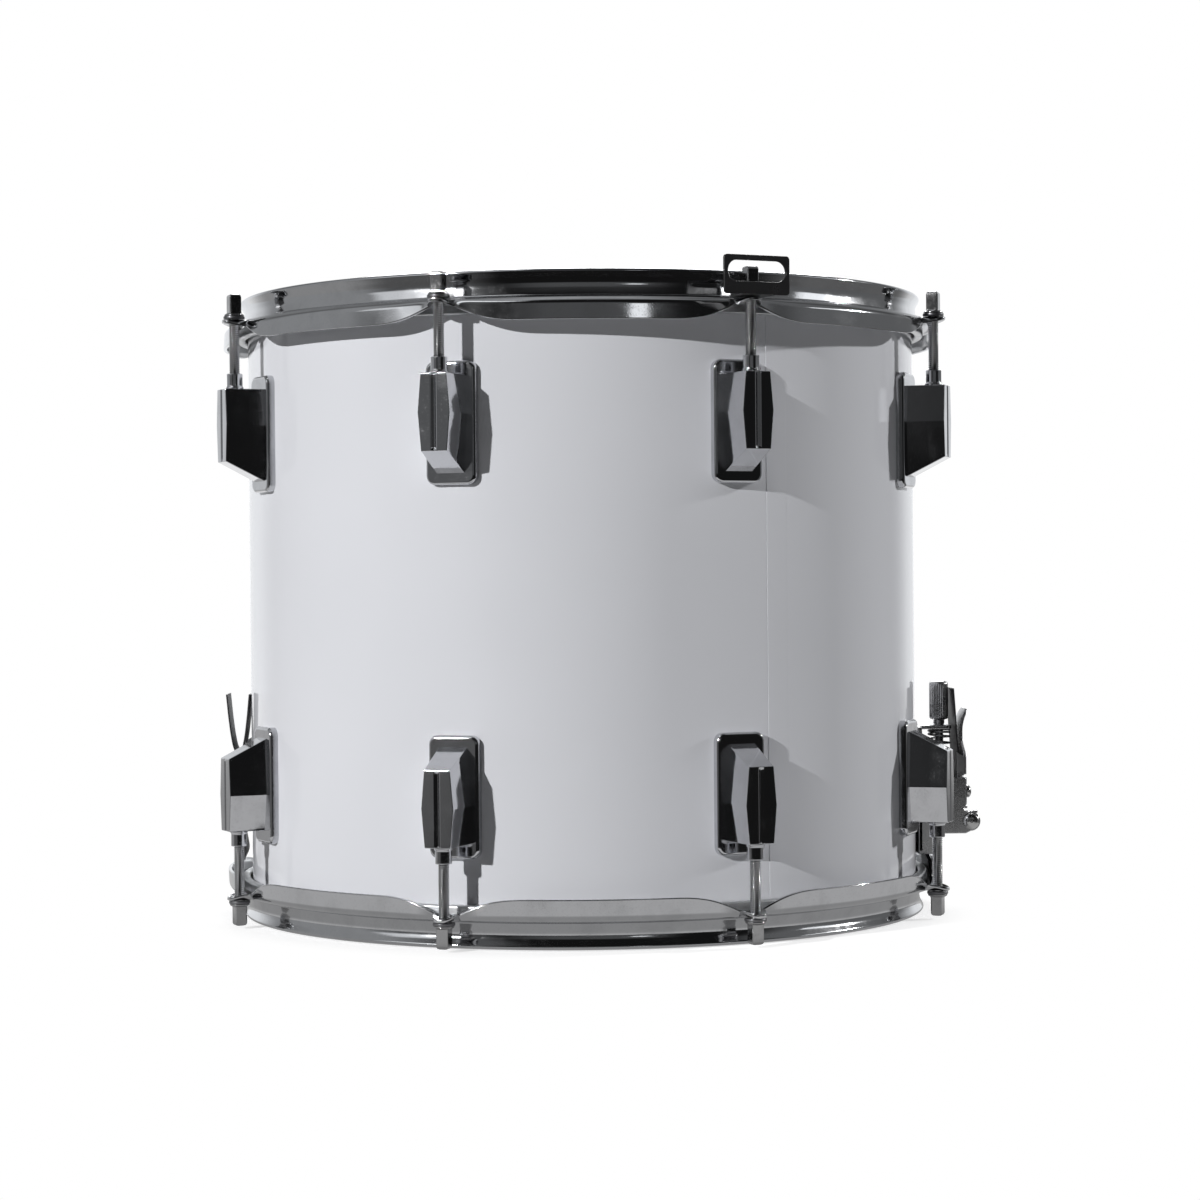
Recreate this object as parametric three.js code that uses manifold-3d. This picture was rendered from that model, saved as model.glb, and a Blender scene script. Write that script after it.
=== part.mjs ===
// Marching snare drum, 14 by 12 inches: shell, heads, hoops, lugs, tension rods, snares and strainer.
// Millimetres, +Z up. The origin is the centre of the batter head's playing surface.
// +X is the strainer's side, -X the butt's side, and the sling bracket stands at the front, -Y.
import * as THREE from "three";
import { mergeVertices } from "three/addons/utils/BufferGeometryUtils.js";
import { ConvexGeometry } from "three/addons/geometries/ConvexGeometry.js";
import Module from "manifold-3d";

const wasm = await Module();
wasm.setup();

// Driving dimensions
const drumDiameter = 355.6; // over the wrap
const drumDepth = 304.8; // between the bearing edges
const lugCount = 8; // at each head
const seat = 0.3; // gap between pieces that touch
const running = 0.4; // gap round a pin or a screw
const rodRunning = 0.65; // gap round a tension rod, whose six sides turn in six-sided holes
const screwRunning = 0.8; // gap round a screw through the shell
const overrun = 2; // how far a cutter passes a face
const rodOffset = 16.5; // tension rods' axes beyond the wrap
const strapWidth = 24;
const strapThickness = 0.8;

// Facets of round forms
const ringFacets = 48;
const shankFacets = 8;
const rodFacets = 6;
const screwFacets = 5;
const knobFacets = 16;
const ventFacets = 12;

// Sizes of each piece. Reach and gap are measured outwards from the wrap, drop and rise along Z.
const shell = { wall: 7.5, glueLine: 0.3, edgeInset: 1.8, edgeRound: 2.2 };
const wrap = { thickness: 0.8, endInset: 9, seamWidth: 12, seamRise: 0.5, seamTurn: THREE.MathUtils.degToRad(-60) };
const vent = { bore: 4, tube: 5, flange: 8, flangeThickness: 1.4, lip: 7, lipThickness: 1 };
const head = { film: 0.4, shoulderInset: 1.7, collarGap: 0.5, turnDrop: 4.1, collarDrop: 8.4 };
const fleshHoop = { width: 4.6, height: 5.2, drop: 5.8 };
const hoop = {
  metal: 1.8,
  rimReach: 4.2,
  rimRise: 10.1,
  lip: 1.3,
  waistReach: -0.2,
  waistRise: 3.1,
  rootReach: 3.9,
  rootInner: 3.1,
  rootRise: 0.8,
  ridgeReach: 9.4,
  skirtReach: 12.8,
  shoulder: 2.6,
  skirtDrop: 11.4,
  earReach: 22.5,
  earHalf: 8.5,
  earFlat: 5.9,
  archHalf: 40,
  archEase: 2.5,
  earDrop: 0.6,
  gateDepth: 12.6,
  gateSpare: 4,
  rimLeft: 4.2,
};
const rod = {
  radius: 2.6,
  headSide: 6.2,
  headHeight: 9.8,
  collarRadius: 5,
  collarHeight: 1.6,
  washerRadius: 5.7,
  washerHeight: 1.4,
  reachIn: 14.5,
};
const lug = {
  endInset: 32.8,
  baseWidth: 26,
  baseHeight: 59.5,
  baseThickness: 3.5,
  baseCorner: 4.5,
  reach: 23.7,
  bodyInset: 7,
  frontLength: 37,
  slant: 10.2,
  frontWidth: 13.3,
  frontWaist: 16.5,
  footWidth: 14.6,
  footWaist: 17.8,
  grooveWidth: 3,
  grooveDepth: 1.1,
  nutRadius: 4,
  nutLength: 7.9,
  boreSpare: 3,
  screwInset: 10,
};
const lugScrew = { radius: 2, headRadius: 4.5, headHeight: 3, innerGap: 0.5 };
const bracket = {
  metal: 1.6,
  footWidth: 16,
  plateReach: 28,
  plateWidth: 35,
  plateHeight: 18.6,
  plateShift: -2.4,
  windowWidth: 31,
  windowHeight: 10,
  windowInset: 2.6,
  corner: 1.5,
};
const base = { metal: 2, drop: 52.3, tabReach: 20.7, tabWidth: 24, length: 67.8, rail: 6, railMetal: 1.6, railDrop: 26 };
const knob = { gap: 15.4, radius: 5.1, height: 20.6, neck: 2.6, neckRadius: 3, bevel: 0.8, screwRadius: 2.5, screwEnd: 46 };
const spring = { curls: 5, wire: 1.2, meanRadius: 5.6, height: 15.6, stepsPerCurl: 8, sides: 5 };
const carriage = {
  metal: 2.2,
  backMetal: 2,
  innerHalf: 20.6,
  height: 29.8,
  reach: 26,
  frontLength: 15,
  notch: 1.4,
  notchDrop: 2,
  bridge: 4,
  bridgeReach: 19.6,
  bossRadius: 6,
  heel: 3,
};
const pivot = { gap: 28.5, drop: 23.3, lobe: 5.3, screwRadius: 2, headRadius: 4.3, headHeight: 2.6 };
const lever = {
  metal: 1.5,
  armMetal: 1.8,
  armInner: 18.4,
  armDepth: 3.6,
  face: 26.8,
  lowerInset: 1.6,
  shoulderRise: 12,
  length: 59,
  bend: 12,
  flare: 3.4,
  tipHalf: 9,
  knuckle: 4.6,
};
const eccentric = { radius: 2, offset: 2.2, inner: 13.2 };
const clamp = {
  blockInner: 19,
  blockFace: 23.1,
  halfWidth: 18,
  topInset: 4.5,
  height: 11.5,
  plateMetal: 1.5,
  plateHeight: 15,
  footInner: 13,
  footWall: 1.4,
  footReach: 33,
};
const clampScrew = { radius: 1.75, headRadius: 3.4, headHeight: 2.6, spread: 14.5, drop: 7.8, tip: 1.5 };
const butt = { drop: 73.6, metal: 2, width: 42, height: 40, blockReach: 5.3, blockInset: 4, halfWidth: 18, plateMetal: 2 };
const strap = {
  layerGap: 0.5,
  foldInset: 46,
  turnGap: 8.2,
  upright: 8,
  buttTailSpread: 5.4,
  buttTailRise: 32,
  strainerTailRise: 52,
  strainerTailLean: 3.6,
  lowGap: 3.7,
  lowDrop: 23,
  elbowGap: 13.5,
  elbowRise: 5.5,
  clampTravel: 3.6,
};
const wires = { count: 12, side: 1.3, pitch: 2.2, plateLength: 15, plateWidth: 30, plateMetal: 1.2, barWidth: 3, slot: 3.4 };

// Levels and radii that several pieces share, measured from the drum's middle
const wrapRadius = drumDiameter / 2;
const shellRadius = wrapRadius - wrap.thickness - shell.glueLine;
const boreRadius = shellRadius - shell.wall;
const edge = drumDepth / 2;
const filmTop = edge + seat + head.film;
const collarRadius = wrapRadius + head.collarGap;
const fleshRadius = collarRadius + head.film + seat;
const fleshTop = edge - fleshHoop.drop;
const flangeTop = fleshTop + seat + hoop.metal;
const earTop = flangeTop - hoop.earDrop;
const rimTop = edge + hoop.rimRise;
const rodRadius = wrapRadius + rodOffset;
const backFace = wrapRadius + seat;
const pitch = (2 * Math.PI) / lugCount;
const firstTurn = pitch / 2;

// Finishes
const finish = (color, roughness, metalness) => new THREE.MeshStandardMaterial({ color, roughness, metalness });
const chrome = finish(0xd6d7da, 0.12, 1);
const aluminium = finish(0xc4c5c8, 0.4, 1);
const steel = finish(0xa8a9ac, 0.35, 1);
const blackPaint = finish(0x1b1b1c, 0.45, 0);
const blackPlastic = finish(0x0d0d0e, 0.55, 0);
const whiteWrap = finish(0xe4e4e8, 0.1, 0);
const coatedFilm = finish(0xe9e8e4, 0.7, 0);
const clearFilm = finish(0xd9dad9, 0.35, 0);
const maple = finish(0xc79a62, 0.5, 0);

// A closed three.js geometry as a solid that can be joined and cut
function solid(geometry) {
  const plain = new THREE.BufferGeometry();
  const source = geometry.index ? geometry.toNonIndexed() : geometry;
  plain.setAttribute("position", source.getAttribute("position"));
  const merged = mergeVertices(plain, 1e-4);
  const made = new wasm.Manifold(
    new wasm.Mesh({
      numProp: 3,
      vertProperties: new Float32Array(merged.getAttribute("position").array),
      triVerts: new Uint32Array(merged.index.array),
    }),
  );
  return made;
}

// A solid back as a three.js geometry
function geometryOf(made) {
  const mesh = made.getMesh();
  const corners = new Float32Array(mesh.numVert * 3);
  for (let i = 0; i < mesh.numVert; i += 1) {
    corners.set(mesh.vertProperties.subarray(i * mesh.numProp, i * mesh.numProp + 3), i * 3);
  }
  const geometry = new THREE.BufferGeometry();
  geometry.setAttribute("position", new THREE.BufferAttribute(corners, 3));
  geometry.setIndex(new THREE.BufferAttribute(mesh.triVerts, 1));
  geometry.computeVertexNormals();
  return geometry;
}

const join = (...parts) => parts.map(solid).reduce((all, next) => all.add(next));
const cut = (whole, ...tools) => tools.map(solid).reduce((left, tool) => left.subtract(tool), whole);

// A box between two corners
function block([x0, x1], [y0, y1], [z0, z1]) {
  const box = new THREE.BoxGeometry(x1 - x0, y1 - y0, z1 - z0);
  return box.translate((x0 + x1) / 2, (y0 + y1) / 2, (z0 + z1) / 2);
}

// A closed profile of radius and height turned about Z
function turned(profile, facets) {
  const points = profile.map(([r, z]) => new THREE.Vector2(r, z));
  return new THREE.LatheGeometry(points, facets).rotateX(Math.PI / 2);
}

// A round bar along Z between two heights
function bar(radius, z0, z1, facets) {
  const made = new THREE.CylinderGeometry(radius, radius, z1 - z0, facets);
  return made.rotateX(Math.PI / 2).translate(0, 0, (z0 + z1) / 2);
}

// Turns a piece made along Z so that it lies along X or Y
const alongX = (geometry) => geometry.rotateY(Math.PI / 2);
const alongY = (geometry) => geometry.rotateX(-Math.PI / 2);

// An outline in X and Z, drawn out along Y between two places
function drawnY(shape, y0, y1) {
  const made = new THREE.ExtrudeGeometry(shape, { depth: y1 - y0, bevelEnabled: false, curveSegments: 5 });
  return made.rotateX(Math.PI / 2).translate(0, y1, 0);
}

// An outline in Y and Z, drawn out along X between two places
function drawnX(shape, x0, x1, curveSegments = 2) {
  const made = new THREE.ExtrudeGeometry(shape, { depth: x1 - x0, bevelEnabled: false, curveSegments });
  made.rotateX(Math.PI / 2).rotateZ(Math.PI / 2);
  return made.translate(x0, 0, 0);
}

function outline(points) {
  return new THREE.Shape(points.map(([a, b]) => new THREE.Vector2(a, b)));
}

// A rectangle with round corners about a centre
function roundedRectangle(width, height, corner, [cx, cy]) {
  const [x, y] = [width / 2, height / 2];
  const shape = new THREE.Shape();
  shape.moveTo(cx - x + corner, cy - y);
  shape.absarc(cx + x - corner, cy - y + corner, corner, -Math.PI / 2, 0);
  shape.absarc(cx + x - corner, cy + y - corner, corner, 0, Math.PI / 2);
  shape.absarc(cx - x + corner, cy + y - corner, corner, Math.PI / 2, Math.PI);
  shape.absarc(cx - x + corner, cy - y + corner, corner, Math.PI, 1.5 * Math.PI);
  return shape;
}

const model = new THREE.Group();
const drum = new THREE.Group(); // the drum about its own middle
const batterSide = new THREE.Group();
const snareSide = new THREE.Group(); // the same fittings, turned over
snareSide.rotation.x = Math.PI;
drum.position.z = -filmTop;
drum.add(batterSide, snareSide);
model.add(drum);

function add(name, geometry, material, parent = drum, turn = 0) {
  const mesh = new THREE.Mesh(geometry, material);
  mesh.name = name;
  mesh.rotation.z = turn;
  parent.add(mesh);
}

// Places of the screws that come through the shell from inside: turn about Z and height
const lugScrewPlaces = [];
for (let k = 0; k < lugCount; k += 1) {
  for (const side of [1, -1]) {
    const end = edge - lug.endInset;
    for (const z of [end - lug.screwInset, end - lug.baseHeight + lug.screwInset]) {
      lugScrewPlaces.push([firstTurn + k * pitch, side * z]);
    }
  }
}
const baseTop = -(edge - base.drop) + base.length / 2;
const baseLow = baseTop - base.length;
const baseScrewLevels = [baseTop - base.metal - lug.screwInset, baseLow + base.metal * 2];
const buttTop = -butt.drop;
const buttScrewLevels = [buttTop - lug.screwInset, buttTop - butt.height + lug.screwInset];
const sideScrewPlaces = [
  ...baseScrewLevels.map((z) => [0, z]),
  ...buttScrewLevels.map((z) => [Math.PI, z]),
];

// One screw from inside the shell, head and shank, pointing out along X
function shellScrew(tip, z) {
  const face = boreRadius - lugScrew.innerGap;
  const profile = [
    [0, face - lugScrew.headHeight],
    [lugScrew.headRadius, face - lugScrew.headHeight],
    [lugScrew.headRadius, face],
    [lugScrew.radius, face],
    [lugScrew.radius, tip],
    [0, tip],
  ];
  return alongX(turned(profile, screwFacets)).translate(0, 0, z);
}

// Holes for those screws, through the wrap and the shell
function screwHoles(places) {
  return places.map(([turn, z]) => {
    const radius = lugScrew.radius + screwRunning;
    const hole = alongX(bar(radius, boreRadius - overrun, wrapRadius + overrun, screwFacets));
    return hole.translate(0, 0, z).rotateZ(turn);
  });
}

function ventHole() {
  const hole = alongX(bar(vent.tube + running, boreRadius - overrun, wrapRadius + overrun, ventFacets));
  return hole.rotateZ(Math.PI / 2);
}

// The shell, with a 45 degree bearing edge inside and a small round-over outside
function makeShell() {
  const bevel = shell.wall - shell.edgeInset;
  const peak = shellRadius - shell.edgeInset;
  const profile = [
    [boreRadius, -edge + bevel],
    [peak, -edge],
    [shellRadius, -edge + shell.edgeRound],
    [shellRadius, edge - shell.edgeRound],
    [peak, edge],
    [boreRadius, edge - bevel],
    [boreRadius, -edge + bevel],
  ];
  const holes = screwHoles([...lugScrewPlaces, ...sideScrewPlaces]);
  add("shell", geometryOf(cut(solid(turned(profile, ringFacets)), ...holes, ventHole())), maple);
}

// The wrap, one sheet round the shell with its end lapped over its start
function makeWrap() {
  const inner = shellRadius + shell.glueLine;
  const end = edge - wrap.endInset;
  const profile = [
    [inner, -end],
    [wrapRadius, -end],
    [wrapRadius, end],
    [inner, end],
    [inner, -end],
  ];
  const lapEnd = end - wrap.seamRise;
  const lap = block(
    [wrapRadius - wrap.thickness / 2, wrapRadius + wrap.seamRise],
    [-wrap.seamWidth / 2, wrap.seamWidth / 2],
    [-lapEnd, lapEnd],
  );
  const whole = join(turned(profile, ringFacets), lap.rotateZ(wrap.seamTurn));
  const holes = screwHoles([...lugScrewPlaces, ...sideScrewPlaces]);
  add("shell_wrap", geometryOf(cut(whole, ...holes, ventHole())), whiteWrap);
}

// The air vent's eyelet, at the back
function makeVent() {
  const inside = boreRadius - lugScrew.innerGap;
  const profile = [
    [vent.bore, inside - vent.lipThickness],
    [vent.lip, inside - vent.lipThickness],
    [vent.lip, inside],
    [vent.tube, inside],
    [vent.tube, backFace],
    [vent.flange, backFace],
    [vent.flange, backFace + vent.flangeThickness],
    [vent.bore, backFace + vent.flangeThickness],
    [vent.bore, inside - vent.lipThickness],
  ];
  add("vent_grommet", alongX(turned(profile, ventFacets)), chrome, drum, Math.PI / 2);
}

// A head's film: flat over the bearing edge, rolled over its shoulder and down into the flesh hoop
function filmGeometry() {
  const shoulder = shellRadius - head.shoulderInset;
  const turnTop = filmTop - head.turnDrop;
  const low = edge - head.collarDrop;
  const profile = [
    [0, filmTop - head.film],
    [shoulder, filmTop - head.film],
    [collarRadius, turnTop - head.film / 2],
    [collarRadius, low],
    [collarRadius + head.film, low],
    [collarRadius + head.film, turnTop],
    [shoulder, filmTop],
    [0, filmTop],
  ];
  return turned(profile, ringFacets);
}

// The aluminium flesh hoop that grips the film's edge
function fleshHoopGeometry() {
  const outer = fleshRadius + fleshHoop.width;
  const low = fleshTop - fleshHoop.height;
  const profile = [
    [fleshRadius, low],
    [outer, low],
    [outer, fleshTop],
    [fleshRadius, fleshTop],
    [fleshRadius, low],
  ];
  return turned(profile, ringFacets);
}

// The hoop's section at a distance along the rods' circle from the nearest ear: a rolled rim, a wall,
// a flange, and a skirt that hangs down between the ears and runs out flat at each of them
function hoopSection(distance) {
  const { clamp: held, lerp, inverseLerp } = THREE.MathUtils;
  const away = held(inverseLerp(hoop.earFlat, hoop.archHalf, distance), 0, 1);
  const arch = 1 - (1 - away) ** hoop.archEase;
  const lobe = held(inverseLerp(hoop.earHalf, hoop.earFlat, distance), 0, 1);
  const skirtOuter = wrapRadius + hoop.skirtReach;
  const rim = wrapRadius + hoop.rimReach;
  const waist = wrapRadius + hoop.waistReach;
  const earEdge = skirtOuter + (hoop.earReach - hoop.skirtReach) * lobe;
  const earShoulder = rodRadius - rod.washerRadius;
  const skirtEnd = flangeTop - hoop.skirtDrop;
  const under = flangeTop - hoop.metal;
  const root = wrapRadius + hoop.rootReach;
  return [
    [rim, rimTop - hoop.lip],
    [waist, edge + hoop.waistRise],
    [root, flangeTop + hoop.rootRise],
    [wrapRadius + hoop.ridgeReach, flangeTop],
    [lerp(earShoulder, skirtOuter - hoop.metal / 4, arch), lerp(earTop, flangeTop - hoop.shoulder, arch)],
    [lerp(earEdge, skirtOuter, arch), lerp(earTop, skirtEnd, arch)],
    [lerp(earEdge, skirtOuter - hoop.metal, arch), lerp(earTop - hoop.metal, skirtEnd, arch)],
    [lerp(earShoulder, skirtOuter - hoop.metal, arch), lerp(earTop - hoop.metal, under - hoop.metal / 2, arch)],
    [wrapRadius + hoop.rootInner, under + hoop.rootRise],
    [waist - hoop.metal, edge + hoop.waistRise - hoop.metal / 4],
    [waist - hoop.metal, rimTop],
    [rim - hoop.lip, rimTop],
  ];
}

// Stations from an ear's corner to the middle of the next scallop, as distances along the rods' circle
function hoopStations() {
  const half = (rodRadius * pitch) / 2;
  const archShares = [0.28, 0.64];
  const near = [hoop.earFlat, hoop.earHalf];
  const bends = archShares.map((share) => hoop.archHalf * share + hoop.earHalf / 2);
  return [...near, ...bends, (hoop.archHalf + half) / 2 - hoop.earHalf, half];
}

// The hoop's skin: its section at every station, joined ring to ring
function hoopBody() {
  const stations = hoopStations();
  const sections = [];
  for (let k = 0; k < lugCount; k += 1) {
    const centre = firstTurn + k * pitch;
    const mirrored = stations.slice().reverse().map((s) => -s);
    for (const s of [...mirrored, ...stations.slice(0, -1)]) {
      sections.push([centre + s / rodRadius, hoopSection(Math.abs(s))]);
    }
  }
  const corners = [];
  for (const [turn, section] of sections) {
    for (const [r, z] of section) {
      corners.push(r * Math.cos(turn), r * Math.sin(turn), z);
    }
  }
  const count = sections[0][1].length;
  const faces = [];
  for (let i = 0; i < sections.length; i += 1) {
    const next = (i + 1) % sections.length;
    for (let j = 0; j < count; j += 1) {
      const after = (j + 1) % count;
      const [a, b] = [i * count + j, i * count + after];
      const [c, d] = [next * count + j, next * count + after];
      faces.push(a, b, c, b, d, c);
    }
  }
  const geometry = new THREE.BufferGeometry();
  geometry.setAttribute("position", new THREE.BufferAttribute(new Float32Array(corners), 3));
  geometry.setIndex(faces);
  return geometry;
}

function hoopGeometry(gates) {
  const tools = [];
  for (let k = 0; k < lugCount; k += 1) {
    const hole = bar(rod.radius + rodRunning, flangeTop - hoop.skirtDrop, rimTop, rodFacets);
    tools.push(hole.translate(rodRadius, 0, 0).rotateZ(firstTurn + k * pitch));
  }
  const gateHalf = strapWidth / 2 + hoop.gateSpare;
  const gateTop = rimTop - hoop.rimLeft;
  for (const turn of gates) {
    const reach = [boreRadius, wrapRadius + hoop.skirtReach - hoop.metal * 1.25];
    const gate = block(reach, [-gateHalf, gateHalf], [gateTop - hoop.gateDepth, gateTop]);
    tools.push(gate.rotateZ(turn));
  }
  return geometryOf(cut(solid(hoopBody()), ...tools));
}

// A lug: base plate, faceted body with a grooved face, the nut's neck, and its two screws
function lugGeometry() {
  const end = edge - lug.endInset;
  const middle = end - lug.baseHeight / 2;
  const front = wrapRadius + lug.reach;
  const step = backFace + lug.baseThickness;
  const top = end - lug.bodyInset;
  const low = top - lug.frontLength;
  const waist = (top + low) / 2;
  const plate = roundedRectangle(lug.baseWidth, lug.baseHeight, lug.baseCorner, [0, middle]);
  const hexagon = (x, width, wide, bottom) =>
    [1, -1].flatMap((s) => [
      new THREE.Vector3(x, (s * width) / 2, top),
      new THREE.Vector3(x, (s * wide) / 2, waist),
      new THREE.Vector3(x, (s * width) / 2, bottom),
    ]);
  const sunk = step - lug.baseThickness / 2;
  const body = new ConvexGeometry([
    ...hexagon(front, lug.frontWidth, lug.frontWaist, low),
    ...hexagon(sunk, lug.footWidth, lug.footWaist, low - lug.slant),
  ]);
  const neck = bar(lug.nutRadius, top - overrun, top + lug.nutLength, rodFacets).translate(rodRadius, 0, 0);
  const screws = [end - lug.screwInset, end - lug.baseHeight + lug.screwInset].map((z) => shellScrew(sunk, z));
  const whole = join(drawnX(plate, backFace, step, 1), body, neck, ...screws);
  const groove = new THREE.CylinderGeometry(1, 1, lug.frontLength + 2 * overrun, 4);
  groove.rotateX(Math.PI / 2).scale(lug.grooveDepth, lug.grooveWidth / 2, 1).translate(front, 0, waist);
  const boreEnd = top - rod.reachIn - lug.boreSpare;
  const bore = bar(rod.radius + rodRunning, boreEnd, top + lug.nutLength + overrun, rodFacets);
  return geometryOf(cut(whole, groove, bore.translate(rodRadius, 0, 0)));
}

// A tension rod with its washer, raised where a bracket's foot lies under it
function rodGeometry(raised) {
  const low = earTop + seat + raised;
  const washerTop = low + rod.washerHeight;
  const collarTop = washerTop + rod.collarHeight;
  const end = edge - lug.endInset - lug.bodyInset - rod.reachIn;
  const profile = [
    [0, end],
    [rod.radius, end],
    [rod.radius, low],
    [rod.washerRadius, low],
    [rod.washerRadius, washerTop],
    [rod.collarRadius, washerTop],
    [rod.collarRadius, collarTop],
    [0, collarTop],
  ];
  const side = rod.headSide / 2;
  const square = block([-side, side], [-side, side], [washerTop, collarTop + rod.headHeight]);
  const made = join(turned(profile, rodFacets), square);
  return geometryOf(made).translate(rodRadius, 0, 0);
}

// The sling bracket: a foot under one rod's washer and an upright plate with a long window
function bracketGeometry() {
  const low = earTop + seat;
  const front = wrapRadius + bracket.plateReach;
  const back = front - bracket.metal;
  const middle = low + bracket.plateHeight / 2;
  const across = [bracket.plateShift, middle];
  const plate = roundedRectangle(bracket.plateWidth, bracket.plateHeight, bracket.corner, across);
  const footBack = rodRadius - rod.washerRadius;
  const footHalf = bracket.footWidth / 2;
  const foot = block([footBack, front - bracket.metal / 2], [-footHalf, footHalf], [low, low + bracket.metal]);
  const windowMiddle = low + bracket.plateHeight - bracket.windowInset - bracket.windowHeight / 2;
  const opening = [bracket.plateShift, windowMiddle];
  const round = bracket.windowHeight / 2 - seat;
  const window = roundedRectangle(bracket.windowWidth, bracket.windowHeight, round, opening);
  const hole = bar(rod.radius + rodRunning, low - overrun, low + bracket.metal + overrun, rodFacets);
  const whole = join(drawnX(plate, back, front), foot);
  const tools = [drawnX(window, back - overrun, front + overrun), hole.translate(rodRadius, 0, 0)];
  return geometryOf(cut(whole, ...tools));
}

// The strainer stands on the +X side. Its levels are below the drum's middle.
const knobX = wrapRadius + knob.gap;
const tabUnder = baseTop - base.metal;
const springTop = tabUnder - seat;
const bossTop = springTop - spring.height - seat;
const carriageTop = bossTop - (spring.height - spring.curls) + seat * 4;
const pivotX = wrapRadius + pivot.gap;
const pivotZ = carriageTop - pivot.drop;
const clampTop = carriageTop - clamp.topInset;
const strapX = wrapRadius + clamp.blockFace + seat + strapThickness + strap.layerGap / 2;
const clampPlateBack = strapX + strap.layerGap / 2 + strapThickness + seat;
const clampScrewZ = carriageTop - clampScrew.drop;

// The fixed base: a plate on the shell, a tab for the knob and a rail at each side of the carriage
function makeStrainerBase() {
  const face = backFace + base.metal;
  const half = carriage.innerHalf + carriage.metal + seat;
  const low = baseLow;
  const plate = block([backFace, face], [-half - base.railMetal, half + base.railMetal], [low, baseTop]);
  const tabHalf = base.tabWidth / 2;
  const tab = block([backFace, wrapRadius + base.tabReach], [-tabHalf, tabHalf], [tabUnder, baseTop]);
  const rails = [1, -1].map((side) => {
    const across = [side * half, side * (half + base.railMetal)].sort((a, b) => a - b);
    return block([backFace, face + base.rail], across, [low, baseTop - base.railDrop]);
  });
  const screws = baseScrewLevels.map((z) => shellScrew(face - base.metal / 4, z));
  const hole = bar(knob.screwRadius + running, tabUnder - overrun, baseTop + overrun, shankFacets);
  const whole = join(plate, tab, ...rails, ...screws);
  add("strainer_base", geometryOf(cut(whole, hole.translate(knobX, 0, 0))), chrome);
}

// The knob and its screw, which turns in the carriage's thread
function makeKnob() {
  const low = baseTop + seat;
  const shoulder = low + knob.neck;
  const top = shoulder + knob.height;
  const profile = [
    [0, low - knob.screwEnd],
    [knob.screwRadius, low - knob.screwEnd],
    [knob.screwRadius, low],
    [knob.neckRadius, low],
    [knob.neckRadius, shoulder],
    [knob.radius, shoulder],
    [knob.radius, top - knob.bevel],
    [knob.radius - knob.bevel, top],
    [0, top],
  ];
  add("strainer_knob", turned(profile, knobFacets).translate(knobX, 0, 0), chrome);
}

// The spring's centre line: straight for one wire at each end, and curls from a formula between them
function springPath() {
  const steps = spring.curls * spring.stepsPerCurl;
  const top = springTop;
  const rise = spring.height - 2 * spring.wire;
  const path = [];
  for (let i = 0; i <= steps; i += 1) {
    const turn = (2 * Math.PI * i) / spring.stepsPerCurl;
    const z = top - spring.wire - (rise * i) / steps;
    path.push({ turn, z, slope: rise / (spring.curls * 2 * Math.PI * spring.meanRadius) });
  }
  const ends = [
    { turn: 0, z: top, upright: true },
    { turn: 0, z: top - spring.height, upright: true },
  ];
  return [ends[0], ...path, ends[1]];
}

// The spring, one tube of five sides round that line
function makeSpring() {
  const path = springPath();
  const corners = [];
  for (const { turn, z, slope = 0, upright = false } of path) {
    const out = new THREE.Vector3(Math.cos(turn), Math.sin(turn), 0);
    const along = new THREE.Vector3(-Math.sin(turn), Math.cos(turn), 0);
    const up = new THREE.Vector3(0, 0, 1);
    const second = upright ? along : up.addScaledVector(along, slope).normalize();
    for (let j = 0; j < spring.sides; j += 1) {
      const angle = (2 * Math.PI * j) / spring.sides;
      const point = out.clone().multiplyScalar(spring.meanRadius + (Math.cos(angle) * spring.wire) / 2);
      point.addScaledVector(second, (Math.sin(angle) * spring.wire) / 2);
      corners.push(point.x + knobX, point.y, point.z + z);
    }
  }
  const faces = [];
  const n = spring.sides;
  for (let i = 0; i + 1 < path.length; i += 1) {
    for (let j = 0; j < n; j += 1) {
      const after = (j + 1) % n;
      const [a, b, c, d] = [i * n + j, i * n + after, (i + 1) * n + j, (i + 1) * n + after];
      faces.push(a, c, b, b, c, d);
    }
  }
  const last = (path.length - 1) * n;
  for (let j = 1; j + 1 < n; j += 1) {
    faces.push(0, j, j + 1, last, last + j + 1, last + j);
  }
  const geometry = new THREE.BufferGeometry();
  geometry.setAttribute("position", new THREE.BufferAttribute(new Float32Array(corners), 3));
  geometry.setIndex(faces);
  add("strainer_spring", geometry, steel);
  const centre = path.map(({ turn, z }) => [spring.meanRadius * Math.cos(turn), spring.meanRadius * Math.sin(turn), z]);
  let least = Infinity;
  for (let i = 0; i < centre.length; i += 1) {
    for (let j = i + spring.stepsPerCurl / 2; j < centre.length; j += 1) {
      least = Math.min(least, Math.hypot(...centre[i].map((v, axis) => v - centre[j][axis])));
    }
  }
  console.log("strainer_spring, least gap to itself: " + (least - spring.wire).toFixed(2) + " mm");
}

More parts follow.
